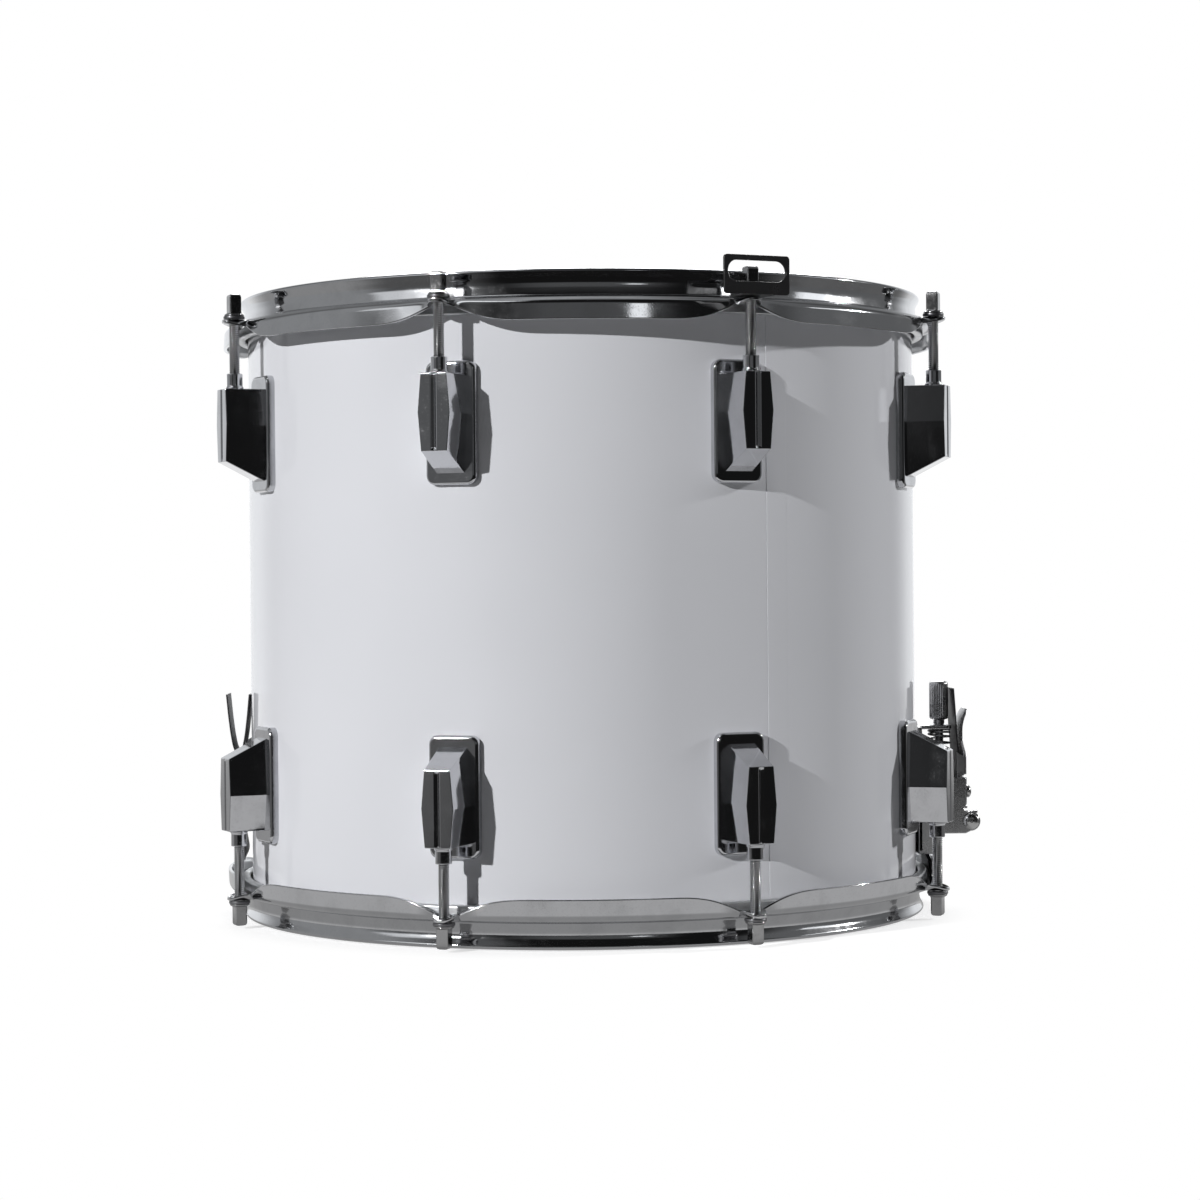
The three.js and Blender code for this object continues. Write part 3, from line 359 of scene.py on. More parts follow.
@dataclass(frozen=True)
class Datum:
    """Levels and radii that the pieces share, in millimetres about the drum's middle."""

    middle: float
    edge: float
    shell_radius: float
    wrap_radius: float
    rod_radius: float

    @classmethod
    def read(cls) -> "Datum":
        """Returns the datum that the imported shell, wrap and first tension rod give."""
        low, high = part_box("shell")
        rod_low, rod_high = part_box("batter_tension_rod_1")
        rod = (rod_low + rod_high) / 2
        return cls(
            middle=(low.z + high.z) / 2 / MM,
            edge=(high.z - low.z) / 2 / MM,
            shell_radius=high.x / MM,
            wrap_radius=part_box("shell_wrap")[1].x / MM,
            rod_radius=math.hypot(rod.x, rod.y) / MM,
        )

    def span(self, node: str) -> np.ndarray:
        """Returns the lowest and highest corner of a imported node, in millimetres about the middle."""
        corners = np.array([list(corner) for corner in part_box(node)]) / MM
        corners[:, 2] -= self.middle
        return corners

    def point(self, x: float, z: float) -> tuple[float, float, float]:
        """Returns a point of the XZ plane in metres, in the part's frame."""
        return (x * MM, 0.0, (z + self.middle) * MM)

    @property
    def back(self) -> float:
        """The face that a fitting stands on, a hair outside the wrap."""
        return self.wrap_radius + 0.3

    @property
    def under(self) -> float:
        """A little below that face, so that a flat plate closes on the round wrap."""
        return self.back - 0.2


def placed(name: str, data: bpy.types.ID) -> bpy.types.Object:
    """Returns a new object of a mesh, lamp or camera, linked to the scene."""
    made = bpy.data.objects.new(name, data)
    bpy.context.scene.collection.objects.link(made)
    return made


class Piece:
    """A mesh object in the making: patches and what each is finished in."""

    def __init__(self, name: str, datum: Datum) -> None:
        """Starts an empty piece.

        Args:
            name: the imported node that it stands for, a dot and a word for how it is made.
            datum: where the drum's middle lies.
        """
        self.name = name
        self.datum = datum
        self.parts: list[tuple[Patch, bpy.types.Material]] = []

    def add(self, finish: "Finish", *patches: Patch) -> "Piece":
        """Adds patches in a finish and returns the piece."""
        self.parts += [(patch, finish.material()) for patch in patches]
        return self

    def mesh(self) -> bpy.types.Mesh:
        """Returns all patches as one mesh in metres, in the part's frame."""
        mesh = bpy.data.meshes.new(self.name)
        corners: list[np.ndarray] = []
        faces: list[list[int]] = []
        slots: list[int] = []
        offset = 0
        for patch, material in self.parts:
            if material.name not in mesh.materials:
                mesh.materials.append(material)
            count = len(faces)
            faces += [face for group in patch.faces for face in (group + offset).tolist()]
            slots += [mesh.materials.find(material.name)] * (len(faces) - count)
            corners.append(patch.points)
            offset += len(patch.points)
        points = np.concatenate(corners) + np.array([0, 0, self.datum.middle])
        mesh.from_pydata((points * MM).tolist(), [], faces)
        mesh.polygons.foreach_set("material_index", slots)
        return mesh

    def make(self, body: str, slot: str, cutters: Sequence[Patch] = (),
             sharp: float = 40.0) -> bpy.types.Object:
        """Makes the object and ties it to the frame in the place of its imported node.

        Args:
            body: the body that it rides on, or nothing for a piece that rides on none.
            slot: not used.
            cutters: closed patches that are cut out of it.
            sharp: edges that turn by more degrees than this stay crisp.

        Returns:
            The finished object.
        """
        mesh = self.mesh()
        made = placed(self.name, mesh)
        if cutters:
            mesh = carved(made, cutters, self.datum)
        mesh.polygons.foreach_set("use_smooth", [True] * len(mesh.polygons))
        mesh.set_sharp_from_angle(angle=math.radians(sharp))
        shading = made.modifiers.new("weighted_normals", "WEIGHTED_NORMAL")
        shading.keep_sharp = True
        if body:
            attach(made, body)
        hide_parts(self.name.partition(".")[0])
        return made


def carved(made: bpy.types.Object, cutters: Sequence[Patch], datum: Datum) -> bpy.types.Mesh:
    """Cuts closed patches out of an object's mesh.

    Args:
        made: the object.
        cutters: what is cut out of it.
        datum: where the drum's middle lies.

    Returns:
        The object's new mesh.
    """
    tool_piece = Piece(made.name + "_cutter", datum)
    blank = made.data.materials[0]
    tool_piece.parts = [(patch, blank) for patch in cutters]
    tool = placed(tool_piece.name, tool_piece.mesh())
    cut = made.modifiers.new("cut", "BOOLEAN")
    cut.operation = "DIFFERENCE"
    cut.solver = "EXACT"
    cut.object = tool
    bpy.context.view_layer.update()
    graph = bpy.context.evaluated_depsgraph_get()
    result = bpy.data.meshes.new_from_object(made.evaluated_get(graph), depsgraph=graph)
    made.modifiers.remove(cut)
    made.data = result
    spent = tool.data
    bpy.data.objects.remove(tool)
    bpy.data.meshes.remove(spent)
    return result


# Materials


class Shade:
    """A number or vector that varies over a surface, with arithmetic on the numbers."""

    def __init__(self, recipe: "Recipe", socket: bpy.types.NodeSocket) -> None:
        """Wraps a node's output socket."""
        self.recipe = recipe
        self.socket = socket

    def _maths(self, operation: str, *values: "Shade | float") -> "Shade":
        """Returns a Math node's result for values in order."""
        made = self.recipe.node("ShaderNodeMath", dict(enumerate(values)), operation=operation)
        return Shade(self.recipe, made.outputs[0])

    def __add__(self, other: "Shade | float") -> "Shade":
        """Sum."""
        return self._maths("ADD", self, other)

    def __radd__(self, other: float) -> "Shade":
        """Sum, reflected."""
        return self._maths("ADD", other, self)

    def __sub__(self, other: "Shade | float") -> "Shade":
        """Difference."""
        return self._maths("SUBTRACT", self, other)

    def __rsub__(self, other: float) -> "Shade":
        """Difference, reflected."""
        return self._maths("SUBTRACT", other, self)

    def __mul__(self, other: "Shade | float") -> "Shade":
        """Product."""
        return self._maths("MULTIPLY", self, other)

    def __rmul__(self, other: float) -> "Shade":
        """Product, reflected."""
        return self._maths("MULTIPLY", other, self)

    def function(self, operation: str, *others: "Shade | float") -> "Shade":
        """Returns a named Math operation of this value, such as SINE or ARCTAN2."""
        return self._maths(operation, self, *others)

    def smooth(self, low: float, high: float) -> "Shade":
        """Returns zero below one value and one above another, eased between them."""
        values = {"Value": self, "From Min": low, "From Max": high}
        made = self.recipe.node("ShaderNodeMapRange", values, interpolation_type="SMOOTHSTEP")
        return Shade(self.recipe, made.outputs["Result"])

    def parts(self) -> tuple["Shade", "Shade", "Shade"]:
        """Returns the X, Y and Z of a vector."""
        made = self.recipe.node("ShaderNodeSeparateXYZ", {"Vector": self})
        return tuple(Shade(self.recipe, socket) for socket in made.outputs)


Value = Shade | float | tuple


class Recipe:
    """The nodes of one material or of the world."""

    def __init__(self, tree: bpy.types.NodeTree) -> None:
        """Empties a node tree and keeps it."""
        self.tree = tree
        tree.nodes.clear()

    def node(self, kind: str, values: dict[str | int, Value] | None = None,
             **settings: str) -> bpy.types.Node:
        """Adds a node.

        Args:
            kind: the node's type.
            values: a value or a link for each of its input sockets.
            settings: its own properties, set first.

        Returns:
            The node.
        """
        made = self.tree.nodes.new(kind)
        for name, setting in settings.items():
            setattr(made, name, setting)
        for name, value in (values or {}).items():
            if isinstance(value, Shade):
                self.tree.links.new(value.socket, made.inputs[name])
            else:
                made.inputs[name].default_value = value
        return made

    def place(self) -> Shade:
        """Returns the Object coordinates."""
        return Shade(self, self.node("ShaderNodeTexCoord").outputs["Object"])

    def stretched(self, place: Shade, factors: tuple[float, float, float]) -> Shade:
        """Returns coordinates multiplied axis by axis."""
        made = self.node("ShaderNodeVectorMath", {0: place, 1: factors}, operation="MULTIPLY")
        return Shade(self, made.outputs[0])

    def noise(self, place: Shade, size: float, detail: float = 3.0) -> Shade:
        """Returns noise whose features are about a size in millimetres."""
        values = {"Vector": place, "Scale": 1 / (size * MM), "Detail": detail}
        return Shade(self, self.node("ShaderNodeTexNoise", values).outputs["Fac"])

    def cells(self, place: Shade, size: float) -> Shade:
        """Returns the distance to the nearest of many scattered points a size apart in millimetres."""
        values = {"Vector": place, "Scale": 1 / (size * MM)}
        return Shade(self, self.node("ShaderNodeTexVoronoi", values).outputs["Distance"])

    def mixed(self, share: Shade, first: tuple | Shade, second: tuple | Shade) -> Shade:
        """Returns a colour between two colours."""
        made = self.node("ShaderNodeMix", {"Factor": share, 6: first, 7: second}, data_type="RGBA")
        return Shade(self, made.outputs[2])

    def bump(self, height: Shade, distance: float) -> Shade:
        """Returns a normal bumped by a height, whose full range is a distance in millimetres."""
        values = {"Height": height, "Distance": distance * MM, "Strength": 1.0}
        return Shade(self, self.node("ShaderNodeBump", values).outputs["Normal"])

    def rays(self) -> tuple[Shade, Shade]:
        """Returns two values that are one or zero: seen by the camera or through glass, and reflected."""
        path = self.node("ShaderNodeLightPath")
        kinds = ("Camera", "Transmission", "Glossy")
        camera, through, glossy = (Shade(self, path.outputs[f"Is {kind} Ray"]) for kind in kinds)
        return camera.function("MAXIMUM", through), glossy

    def end(self, shader: bpy.types.Node, output: str = "ShaderNodeOutputMaterial") -> None:
        """Ends the recipe with a shader as its surface."""
        self.tree.links.new(shader.outputs[0], self.node(output).inputs["Surface"])

    def surface(self, values: dict[str | int, Value]) -> None:
        """Ends the recipe with one Principled surface."""
        self.end(self.node("ShaderNodeBsdfPrincipled", values))


def rgba(colour: tuple[float, float, float], share: float = 1.0) -> tuple[float, float, float, float]:
    """A colour times a share, with full alpha."""
    return (colour[0] * share, colour[1] * share, colour[2] * share, 1.0)


@dataclass(frozen=True)
class Finish:
    """What a surface is finished in; each kind writes its own recipe."""

    name: str
    colour: tuple[float, float, float]

    @functools.cache
    def material(self) -> bpy.types.Material:
        """Returns this finish's material, made once."""
        made = bpy.data.materials.new(self.name)
        made.use_nodes = True
        self.write(Recipe(made.node_tree))
        return made

    def write(self, recipe: Recipe) -> None:
        """Writes the nodes; each kind has its own."""
        raise NotImplementedError


@dataclass(frozen=True)
class Metal(Finish):
    """Plated or bare metal: polish with a faint haze, hairlines and slow waves in the surface."""

    gloss: float = 0.07
    haze: float = 0.08
    haze_size: float = 14.0
    hairline: float = 0.06
    grain: tuple[float, float, float] = (1.0, 1.0, 1.0)
    hairline_size: float = 0.9
    wave: float = 0.05
    wave_size: float = 22.0
    tarnish: float = 0.85
    haze_band: tuple[float, float] = (0.42, 0.72)
    hair_band: tuple[float, float] = (0.5, 0.78)
    hair_height: float = 0.004
    haze_share: float = 0.6
    hair_share: float = 0.4

    def write(self, recipe: Recipe) -> None:
        """Haze and hairlines raise the roughness and dull the colour; waves bend the reflections."""
        place = recipe.place()
        haze = recipe.noise(place, self.haze_size, 4.0).smooth(*self.haze_band)
        hair = recipe.noise(recipe.stretched(place, self.grain), self.hairline_size, 2.0)
        hair = hair.smooth(*self.hair_band)
        waves = recipe.noise(place, self.wave_size, 1.0)
        height = waves * self.wave + hair * self.hair_height
        dull = haze * self.haze_share + hair * self.hair_share
        colour = recipe.mixed(dull, rgba(self.colour), rgba(self.colour, self.tarnish))
        recipe.surface({
            "Base Color": colour,
            "Metallic": 1.0,
            "Roughness": self.gloss + haze * self.haze + hair * self.hairline,
            "Normal": recipe.bump(height, 1.0),
        })


@dataclass(frozen=True)
class WrapSheet(Finish):
    """Glossy plastic sheet: clear gloss over a white that is a little uneven, with faint rub marks."""

    gloss: float = 0.06
    ripple: float = 0.012
    ripple_size: float = 26.0
    rub: float = 0.10
    rub_size: float = 2.4
    rub_grain: tuple[float, float, float] = (1.0, 1.0, 0.12)
    rub_band: tuple[float, float] = (0.58, 0.8)
    cloud_size: float = 120.0
    cloud_band: tuple[float, float] = (0.3, 0.7)
    cloud_share: float = 0.975
    peel: float = 0.0006
    peel_size: float = 2.2

    def write(self, recipe: Recipe) -> None:
        """Slow ripples bend the reflections and long rub marks dull them."""
        place = recipe.place()
        cloud = recipe.noise(place, self.cloud_size, 2.0)
        rubs = recipe.noise(recipe.stretched(place, self.rub_grain), self.rub_size, 3.0)
        ripple = recipe.noise(place, self.ripple_size, 1.5)
        peel = recipe.noise(place, self.peel_size, 1.0)
        cloud = cloud.smooth(*self.cloud_band)
        recipe.surface({
            "Base Color": recipe.mixed(cloud, rgba(self.colour), rgba(self.colour, self.cloud_share)),
            "Roughness": self.gloss + rubs.smooth(*self.rub_band) * self.rub,
            "Normal": recipe.bump(ripple * self.ripple + peel * self.peel, 1.0),
        })


@dataclass(frozen=True)
class Plies(Finish):
    """Maple plies: grain that runs round the shell, and glue lines where the plies' edges show."""

    dark: tuple[float, float, float] = (0.30, 0.15, 0.06)
    ply: float = 1.25
    grain_size: float = 1.4
    grain_run: float = 0.02
    grain_height: float = 0.03
    figure_size: float = 45.0
    rough: float = 0.42
    shares: tuple[float, float, float] = (0.5, 0.2, 0.3)

    def write(self, recipe: Recipe) -> None:
        """Grain follows the angle round Z; glue lines follow the distance from it."""
        place = recipe.place()
        x, y, z = place.parts()
        radius = (x * x + y * y).function("SQRT")
        angle = y.function("ARCTAN2", x)
        flat = recipe.node("ShaderNodeCombineXYZ", {"X": angle * self.grain_run, "Y": z, "Z": radius})
        grain = recipe.noise(Shade(recipe, flat.outputs[0]), self.grain_size, 6.0)
        figure = recipe.noise(place, self.figure_size, 2.0)
        lines = (radius * (TURN / (self.ply * MM))).function("SINE").smooth(0.75, 0.98)
        grain_share, figure_share, line_share = self.shares
        shade = grain.smooth(0.35, 0.75) * grain_share + figure.smooth(0.3, 0.7) * figure_share
        recipe.surface({
            "Base Color": recipe.mixed(shade + lines * line_share, rgba(self.colour), rgba(self.dark)),
            "Roughness": self.rough + grain * 0.2,
            "Normal": recipe.bump(grain, self.grain_height),
        })


@dataclass(frozen=True)
class Film(Finish):
    """A drumhead's film, coated with fine spray or left hazy, with the marks of playing."""

    grit: float = 0.02
    grit_size: float = 0.5
    rough: float = 0.62
    cover: float = 1.0
    marks: float = 0.10
    mark_size: float = 6.0
    mark_band: tuple[float, float] = (0.5, 0.72)
    mark_share: float = 0.72
    marked_radius: float = 95.0
    heart_share: float = 0.3

    def write(self, recipe: Recipe) -> None:
        """Grit bumps the surface; grey marks gather towards the middle and fade at a radius."""
        place = recipe.place()
        x, y, _ = place.parts()
        radius = (x * x + y * y).function("SQRT")
        zone = 1 - radius.smooth(self.marked_radius * self.heart_share * MM, self.marked_radius * MM)
        strokes = recipe.noise(recipe.stretched(place, (1.0, 0.4, 1.0)), self.mark_size, 5.0)
        grit = recipe.cells(place, self.grit_size)
        worn = zone * strokes.smooth(*self.mark_band) * self.marks
        recipe.surface({
            "Base Color": recipe.mixed(worn * 4, rgba(self.colour), rgba(self.colour, self.mark_share)),
            "Roughness": self.rough - worn,
            "Alpha": self.cover,
            "Normal": recipe.bump(grit, self.grit),
        })


@dataclass(frozen=True)
class PowderCoat(Finish):
    """Satin black powder paint: a fine orange peel and lighter rubbed places."""

    rough: float = 0.30
    peel: float = 0.03
    peel_size: float = 0.7
    rub: float = 0.12
    rub_size: float = 7.0
    rub_band: tuple[float, float] = (0.55, 0.78)
    rub_light: float = 2.2

    def write(self, recipe: Recipe) -> None:
        """Peel bumps the paint; rubbed places are lighter and smoother."""
        place = recipe.place()
        peel = recipe.noise(place, self.peel_size, 2.0)
        rubbed = recipe.noise(place, self.rub_size, 5.0).smooth(*self.rub_band)
        recipe.surface({
            "Base Color": recipe.mixed(rubbed, rgba(self.colour), rgba(self.colour, self.rub_light)),
            "Roughness": self.rough - rubbed * self.rub,
            "Normal": recipe.bump(peel, self.peel),
        })


@dataclass(frozen=True)
class StrapPlastic(Finish):
    """Black strap plastic: drawn lines along its length and dusty scuffs."""

    rough: float = 0.42
    line: float = 0.04
    line_size: float = 0.5
    scuff_size: float = 5.0
    scuff_band: tuple[float, float] = (0.56, 0.8)
    scuff_light: float = 2.6

    def write(self, recipe: Recipe) -> None:
        """Lines follow Y alone, so they run the strap's whole length; scuffs lighten it in places."""
        place = recipe.place()
        lines = recipe.noise(recipe.stretched(place, (0.0, 1.0, 0.0)), self.line_size, 2.0)
        scuffs = recipe.noise(recipe.stretched(place, (1.0, 3.0, 1.0)), self.scuff_size, 5.0)
        scuffs = scuffs.smooth(*self.scuff_band)
        recipe.surface({
            "Base Color": recipe.mixed(scuffs, rgba(self.colour), rgba(self.colour, self.scuff_light)),
            "Roughness": self.rough + scuffs * 0.2 + lines * 0.08,
            "Normal": recipe.bump(lines, self.line),
        })


CHROME = Metal("hoop_chrome", (0.58, 0.585, 0.60), hairline=0.03)
CAST_CHROME = Metal("lug_chrome", (0.62, 0.625, 0.645), gloss=0.06, wave=0.05, wave_size=12.0)
DARK_CHROME = Metal("strainer_chrome", (0.52, 0.52, 0.525), gloss=0.25, wave=0.04, wave_size=14.0)
ROD_CHROME = Metal("rod_chrome", (0.42, 0.42, 0.425), gloss=0.10, haze_size=5.0, wave=0.0)
WASHER_STEEL = Metal("washer_steel", (0.20, 0.20, 0.21), gloss=0.30, haze_size=3.0, wave=0.0)
SCREW_STEEL = Metal("screw_steel", (0.50, 0.50, 0.50), gloss=0.18, haze_size=4.0, hairline=0.12, wave=0.0)
SPRING_STEEL = Metal("spring_steel", (0.36, 0.36, 0.37), gloss=0.22, haze_size=3.0, wave=0.0)
SNARE_STEEL = Metal("snare_wire_steel", (0.52, 0.53, 0.55), gloss=0.24, haze_size=6.0, wave=0.0)
BRUSHED_ALUMINIUM = Metal(
    "flesh_hoop_aluminium", (0.60, 0.61, 0.62), gloss=0.34, hairline=0.2, grain=(0.3, 0.3, 4.0), wave=0.0
)
VENT_CHROME = Metal("vent_chrome", (0.56, 0.565, 0.58), gloss=0.09, haze_size=5.0, wave=0.02, wave_size=5.0)
WHITE_WRAP = WrapSheet("white_wrap_sheet", (0.79, 0.80, 0.84))
MAPLE = Plies("maple_plies", (0.62, 0.40, 0.21))
COATED_FILM = Film("coated_batter_film", (0.78, 0.78, 0.76))
CLEAR_FILM = Film(
    "hazy_snare_film", (0.72, 0.73, 0.73), grit=0.004, grit_size=1.2, rough=0.3, cover=0.55, marks=0.03
)
BRACKET_BLACK = PowderCoat("bracket_powder_coat", (0.016, 0.016, 0.017))
STRAP_BLACK = StrapPlastic("strap_plastic", (0.010, 0.010, 0.011))


# Pieces that several assemblies use


def helix_rod(radius: float, low: float, high: float, pitch: float, depth: float, plain: float) -> Patch:
    """A threaded bar along Z.

    Its radius falls from the crest by the depth times |2f - 1|, where f is the fraction part of height
    over pitch less the turn round the axis; the thread fades out towards the top over a plain stretch.

    Args:
        radius: the crests' radius.
        low: the bar's lower end.
        high: its upper end.
        pitch: height of one turn.
        depth: the thread's depth.
        plain: length at the top without thread.

    Returns:
        The closed bar.
    """
    places, rows_a_turn, least_rows, chamfer_share, fade_share = 20, 5, 8, 0.25, 0.7
    rows = max(int((high - low) / pitch * rows_a_turn), least_rows)
    height = np.linspace(low, high, rows)[:, None]
    turn = np.arange(places)[None, :] / places
    fraction = np.mod(height / pitch - turn, 1.0)
    fade = soft_step(high - height, plain * fade_share, plain) * soft_step(height - low, 0, pitch)
    chamfer = chamfer_share * (1 - soft_step(height - low, 0, pitch))
    ring = radius - depth * np.abs(2 * fraction - 1) * fade - chamfer * radius
    angle = turn * TURN
    return tube(Axis.Z.place(ring * np.cos(angle), ring * np.sin(angle), height))


def domed_screw(tip: float, under: float, radius: float, head_radius: float, head_height: float,
                slot: float) -> Patch:
    """A screw along Z with a low dome, whose driver slot is pressed into the top.

    The dome's height at radius r is the head's height times the root of 1 - (r / R)^2, and points nearer
    the slot's middle line than about half its width are lowered by a share of the head's height.

    Args:
        tip: the shank's end.
        under: the head's underside.
        radius: the shank's radius.
        head_radius: the head's radius.
        head_height: the dome's height.
        slot: the slot's width, or zero for none.

    Returns:
        The closed screw.
    """
    rim_share, pole_share, chamfer_share, slot_share, cut_share = 0.3, 0.06, 0.3, 0.4, 0.55
    tip_share, full_cut_share, no_cut_share = 0.8, 0.42, 0.62
    share = np.cos(np.linspace(0, math.pi / 2, 9)[:-1])
    rise = rim_share + (1 - rim_share) * np.sqrt(1 - share**2)
    dome = np.stack([head_radius * share, under + head_height * rise], axis=-1)
    tip_radius = radius * tip_share
    foot = [[tip_radius, tip], [radius, tip + radius * chamfer_share], [radius, under], [head_radius, under]]
    fine = np.linspace(1, pole_share, 14)[1:, None] * head_radius * share[-1]
    cap = np.concatenate([fine, np.full_like(fine, under + head_height)], axis=1)
    screw = lathe(np.concatenate([np.array(foot), dome, cap]), 48)
    if slot:
        points = screw.points
        top = points[:, 2] > under + head_height * cut_share
        near = 1 - soft_step(np.abs(points[:, 1]), slot * full_cut_share, slot * no_cut_share)
        points[:, 2] -= np.where(top, near * head_height * slot_share, 0)
    return screw


def shell_screw(datum: Datum, wall: float, tip: float, level: float) -> Patch:
    """A screw from inside the shell, pointing out along X at a level, with a pan head."""
    head, crown, shank, clear = 4.5, 3.6, 2.0, 0.5
    face = datum.shell_radius - wall - clear
    profile = np.array([[crown, face - 3.0], [head, face - 2.2], [head, face], [shank, face], [shank, tip]])
    return lathe(eased(profile, 0.4, 3, closed=False), 24, Axis.X).moved(z=level)


def annulus(corners: Sequence[Sequence[float]], cut: float, steps: int = 48, arc_steps: int = 4,
            axis: Axis = Axis.Z) -> Patch:
    """A closed section with round corners, turned about an axis.

    Args:
        corners: radius and height of each corner.
        cut: how far each corner is cut back.
        steps: places round the axis.
        arc_steps: steps of each rounded corner.
        axis: what it turns about.

    Returns:
        The ring.
    """
    return lathe(eased(np.array(corners), cut, arc_steps), steps, axis, End.JOINED)


def plate(width: float, height: float, corner: float, low: float, high: float, centre: tuple[float, float],
          edge_width: float) -> Patch:
    """A round-cornered plate across X between two depths, with bevelled rims."""
    return bevelled(prism(round_box(width, height, corner, centre), low, high, Axis.X), edge_width)


# Sub-assemblies


@dataclass
class ShellWork:
    """The shell, its wrap and the air vent's eyelet."""

    datum: Datum
    wall: float = 7.5
    peak_inset: float = 1.8
    peak_cut: float = 0.7
    edge_round: float = 2.2
    steps: int = 288
    wrap_thickness: float = 0.8
    wrap_end: float = 9.0
    seam_turn: float = -60.0
    seam_width: float = 12.0
    seam_rise: float = 0.13
    seam_ease: tuple[float, float] = (0.52, -0.25)
    seam_gap: float = 0.02
    seam_inset: float = 0.5
    vent_turn: float = 90.0
    vent_bore: float = 4.0
    vent_tube: float = 5.0
    vent_flange: float = 8.0
    vent_lip: float = 7.0
    vent_metal: float = 1.0
    vent_clear: float = 0.5
    vent_gap: float = 0.1
    vent_dome: tuple[tuple[float, float], ...] = ((3.4, 1.2), (0.8, 1.4), (0.0, 0.7))
    cutter_over: float = 3.0

    def shell(self) -> bpy.types.Object:
        """Returns the shell: a closed section with bearing edges, turned round Z."""
        d = self.datum
        bore = d.shell_radius - self.wall
        peak = d.shell_radius - self.peak_inset
        slope = self.wall - self.peak_inset
        half = [[peak, d.edge], [bore, d.edge - slope], [bore, -d.edge + slope], [peak, -d.edge]]
        outer = [[d.shell_radius, -d.edge + self.edge_round], [d.shell_radius, d.edge - self.edge_round]]
        piece = Piece("shell.turned", d).add(MAPLE, annulus(half + outer, self.peak_cut, self.steps))
        return piece.make("drum", "shell_wood", [self.vent_cutter()])

    def wrap(self) -> bpy.types.Object:
        """Returns the wrap: a thin turned sheet, and its lapped end standing a little proud."""
        d = self.datum
        inner = d.wrap_radius - self.wrap_thickness
        end = d.edge - self.wrap_end
        corners = [[inner, -end], [d.wrap_radius, -end], [d.wrap_radius, end], [inner, end]]
        sheet = annulus(corners, 0.2, self.steps, 2)
        piece = Piece("shell_wrap.sheet", d).add(WHITE_WRAP, sheet, self.lap(end))
        return piece.make("drum", "white_wrap", [self.vent_cutter()])

    def lap(self, end: float) -> Patch:
        """Returns the lap: its radius rises across its width from the sheet's to the seam's full rise.

        Args:
            end: the sheet's upper end.
        """
        d = self.datum
        across = np.linspace(-0.5, 0.5, 15)
        angle = np.radians(self.seam_turn) + across * self.seam_width / d.wrap_radius
        rise = self.seam_gap + soft_step(across, *self.seam_ease) * self.seam_rise
        height = np.array([[self.seam_inset - end], [end - self.seam_inset]])
        sheets = [d.wrap_radius + rise, np.full_like(rise, d.wrap_radius - self.wrap_thickness / 2)]
        front, back = [Axis.Z.place(r * np.cos(angle), r * np.sin(angle), height) for r in sheets]
        return bevelled(slab(front, back), 0.12, 2, 50)

    def vent_cutter(self) -> Patch:
        """Returns the bar that clears the shell and the wrap for the eyelet's tube."""
        inner = self.datum.shell_radius - self.wall - self.cutter_over
        outer = self.datum.wrap_radius + self.cutter_over
        ends = np.array([[self.vent_tube, inner], [self.vent_tube, outer]])
        return lathe(ends, 48, Axis.X).turned(self.vent_turn)

    def vent(self) -> bpy.types.Object:
        """Returns the eyelet: a closed section with a round flange, turned about its own axis."""
        d = self.datum
        inside = d.shell_radius - self.wall - self.vent_clear
        back, face = inside - self.vent_metal, d.wrap_radius + self.vent_gap
        corners = [
            [self.vent_bore, back], [self.vent_lip, back], [self.vent_lip, inside],
            [self.vent_tube, inside], [self.vent_tube, face], [self.vent_flange, face],
            *[[self.vent_bore + out, face + rise] for out, rise in self.vent_dome],
        ]
        eyelet = annulus(corners, 0.45, 72, axis=Axis.X).turned(self.vent_turn)
        return Piece("vent_grommet.turned", d).add(VENT_CHROME, eyelet).make("drum", "vent_metal")

    def build(self) -> list[bpy.types.Object]:
        """Builds the three pieces."""
        return [self.shell(), self.wrap(), self.vent()]


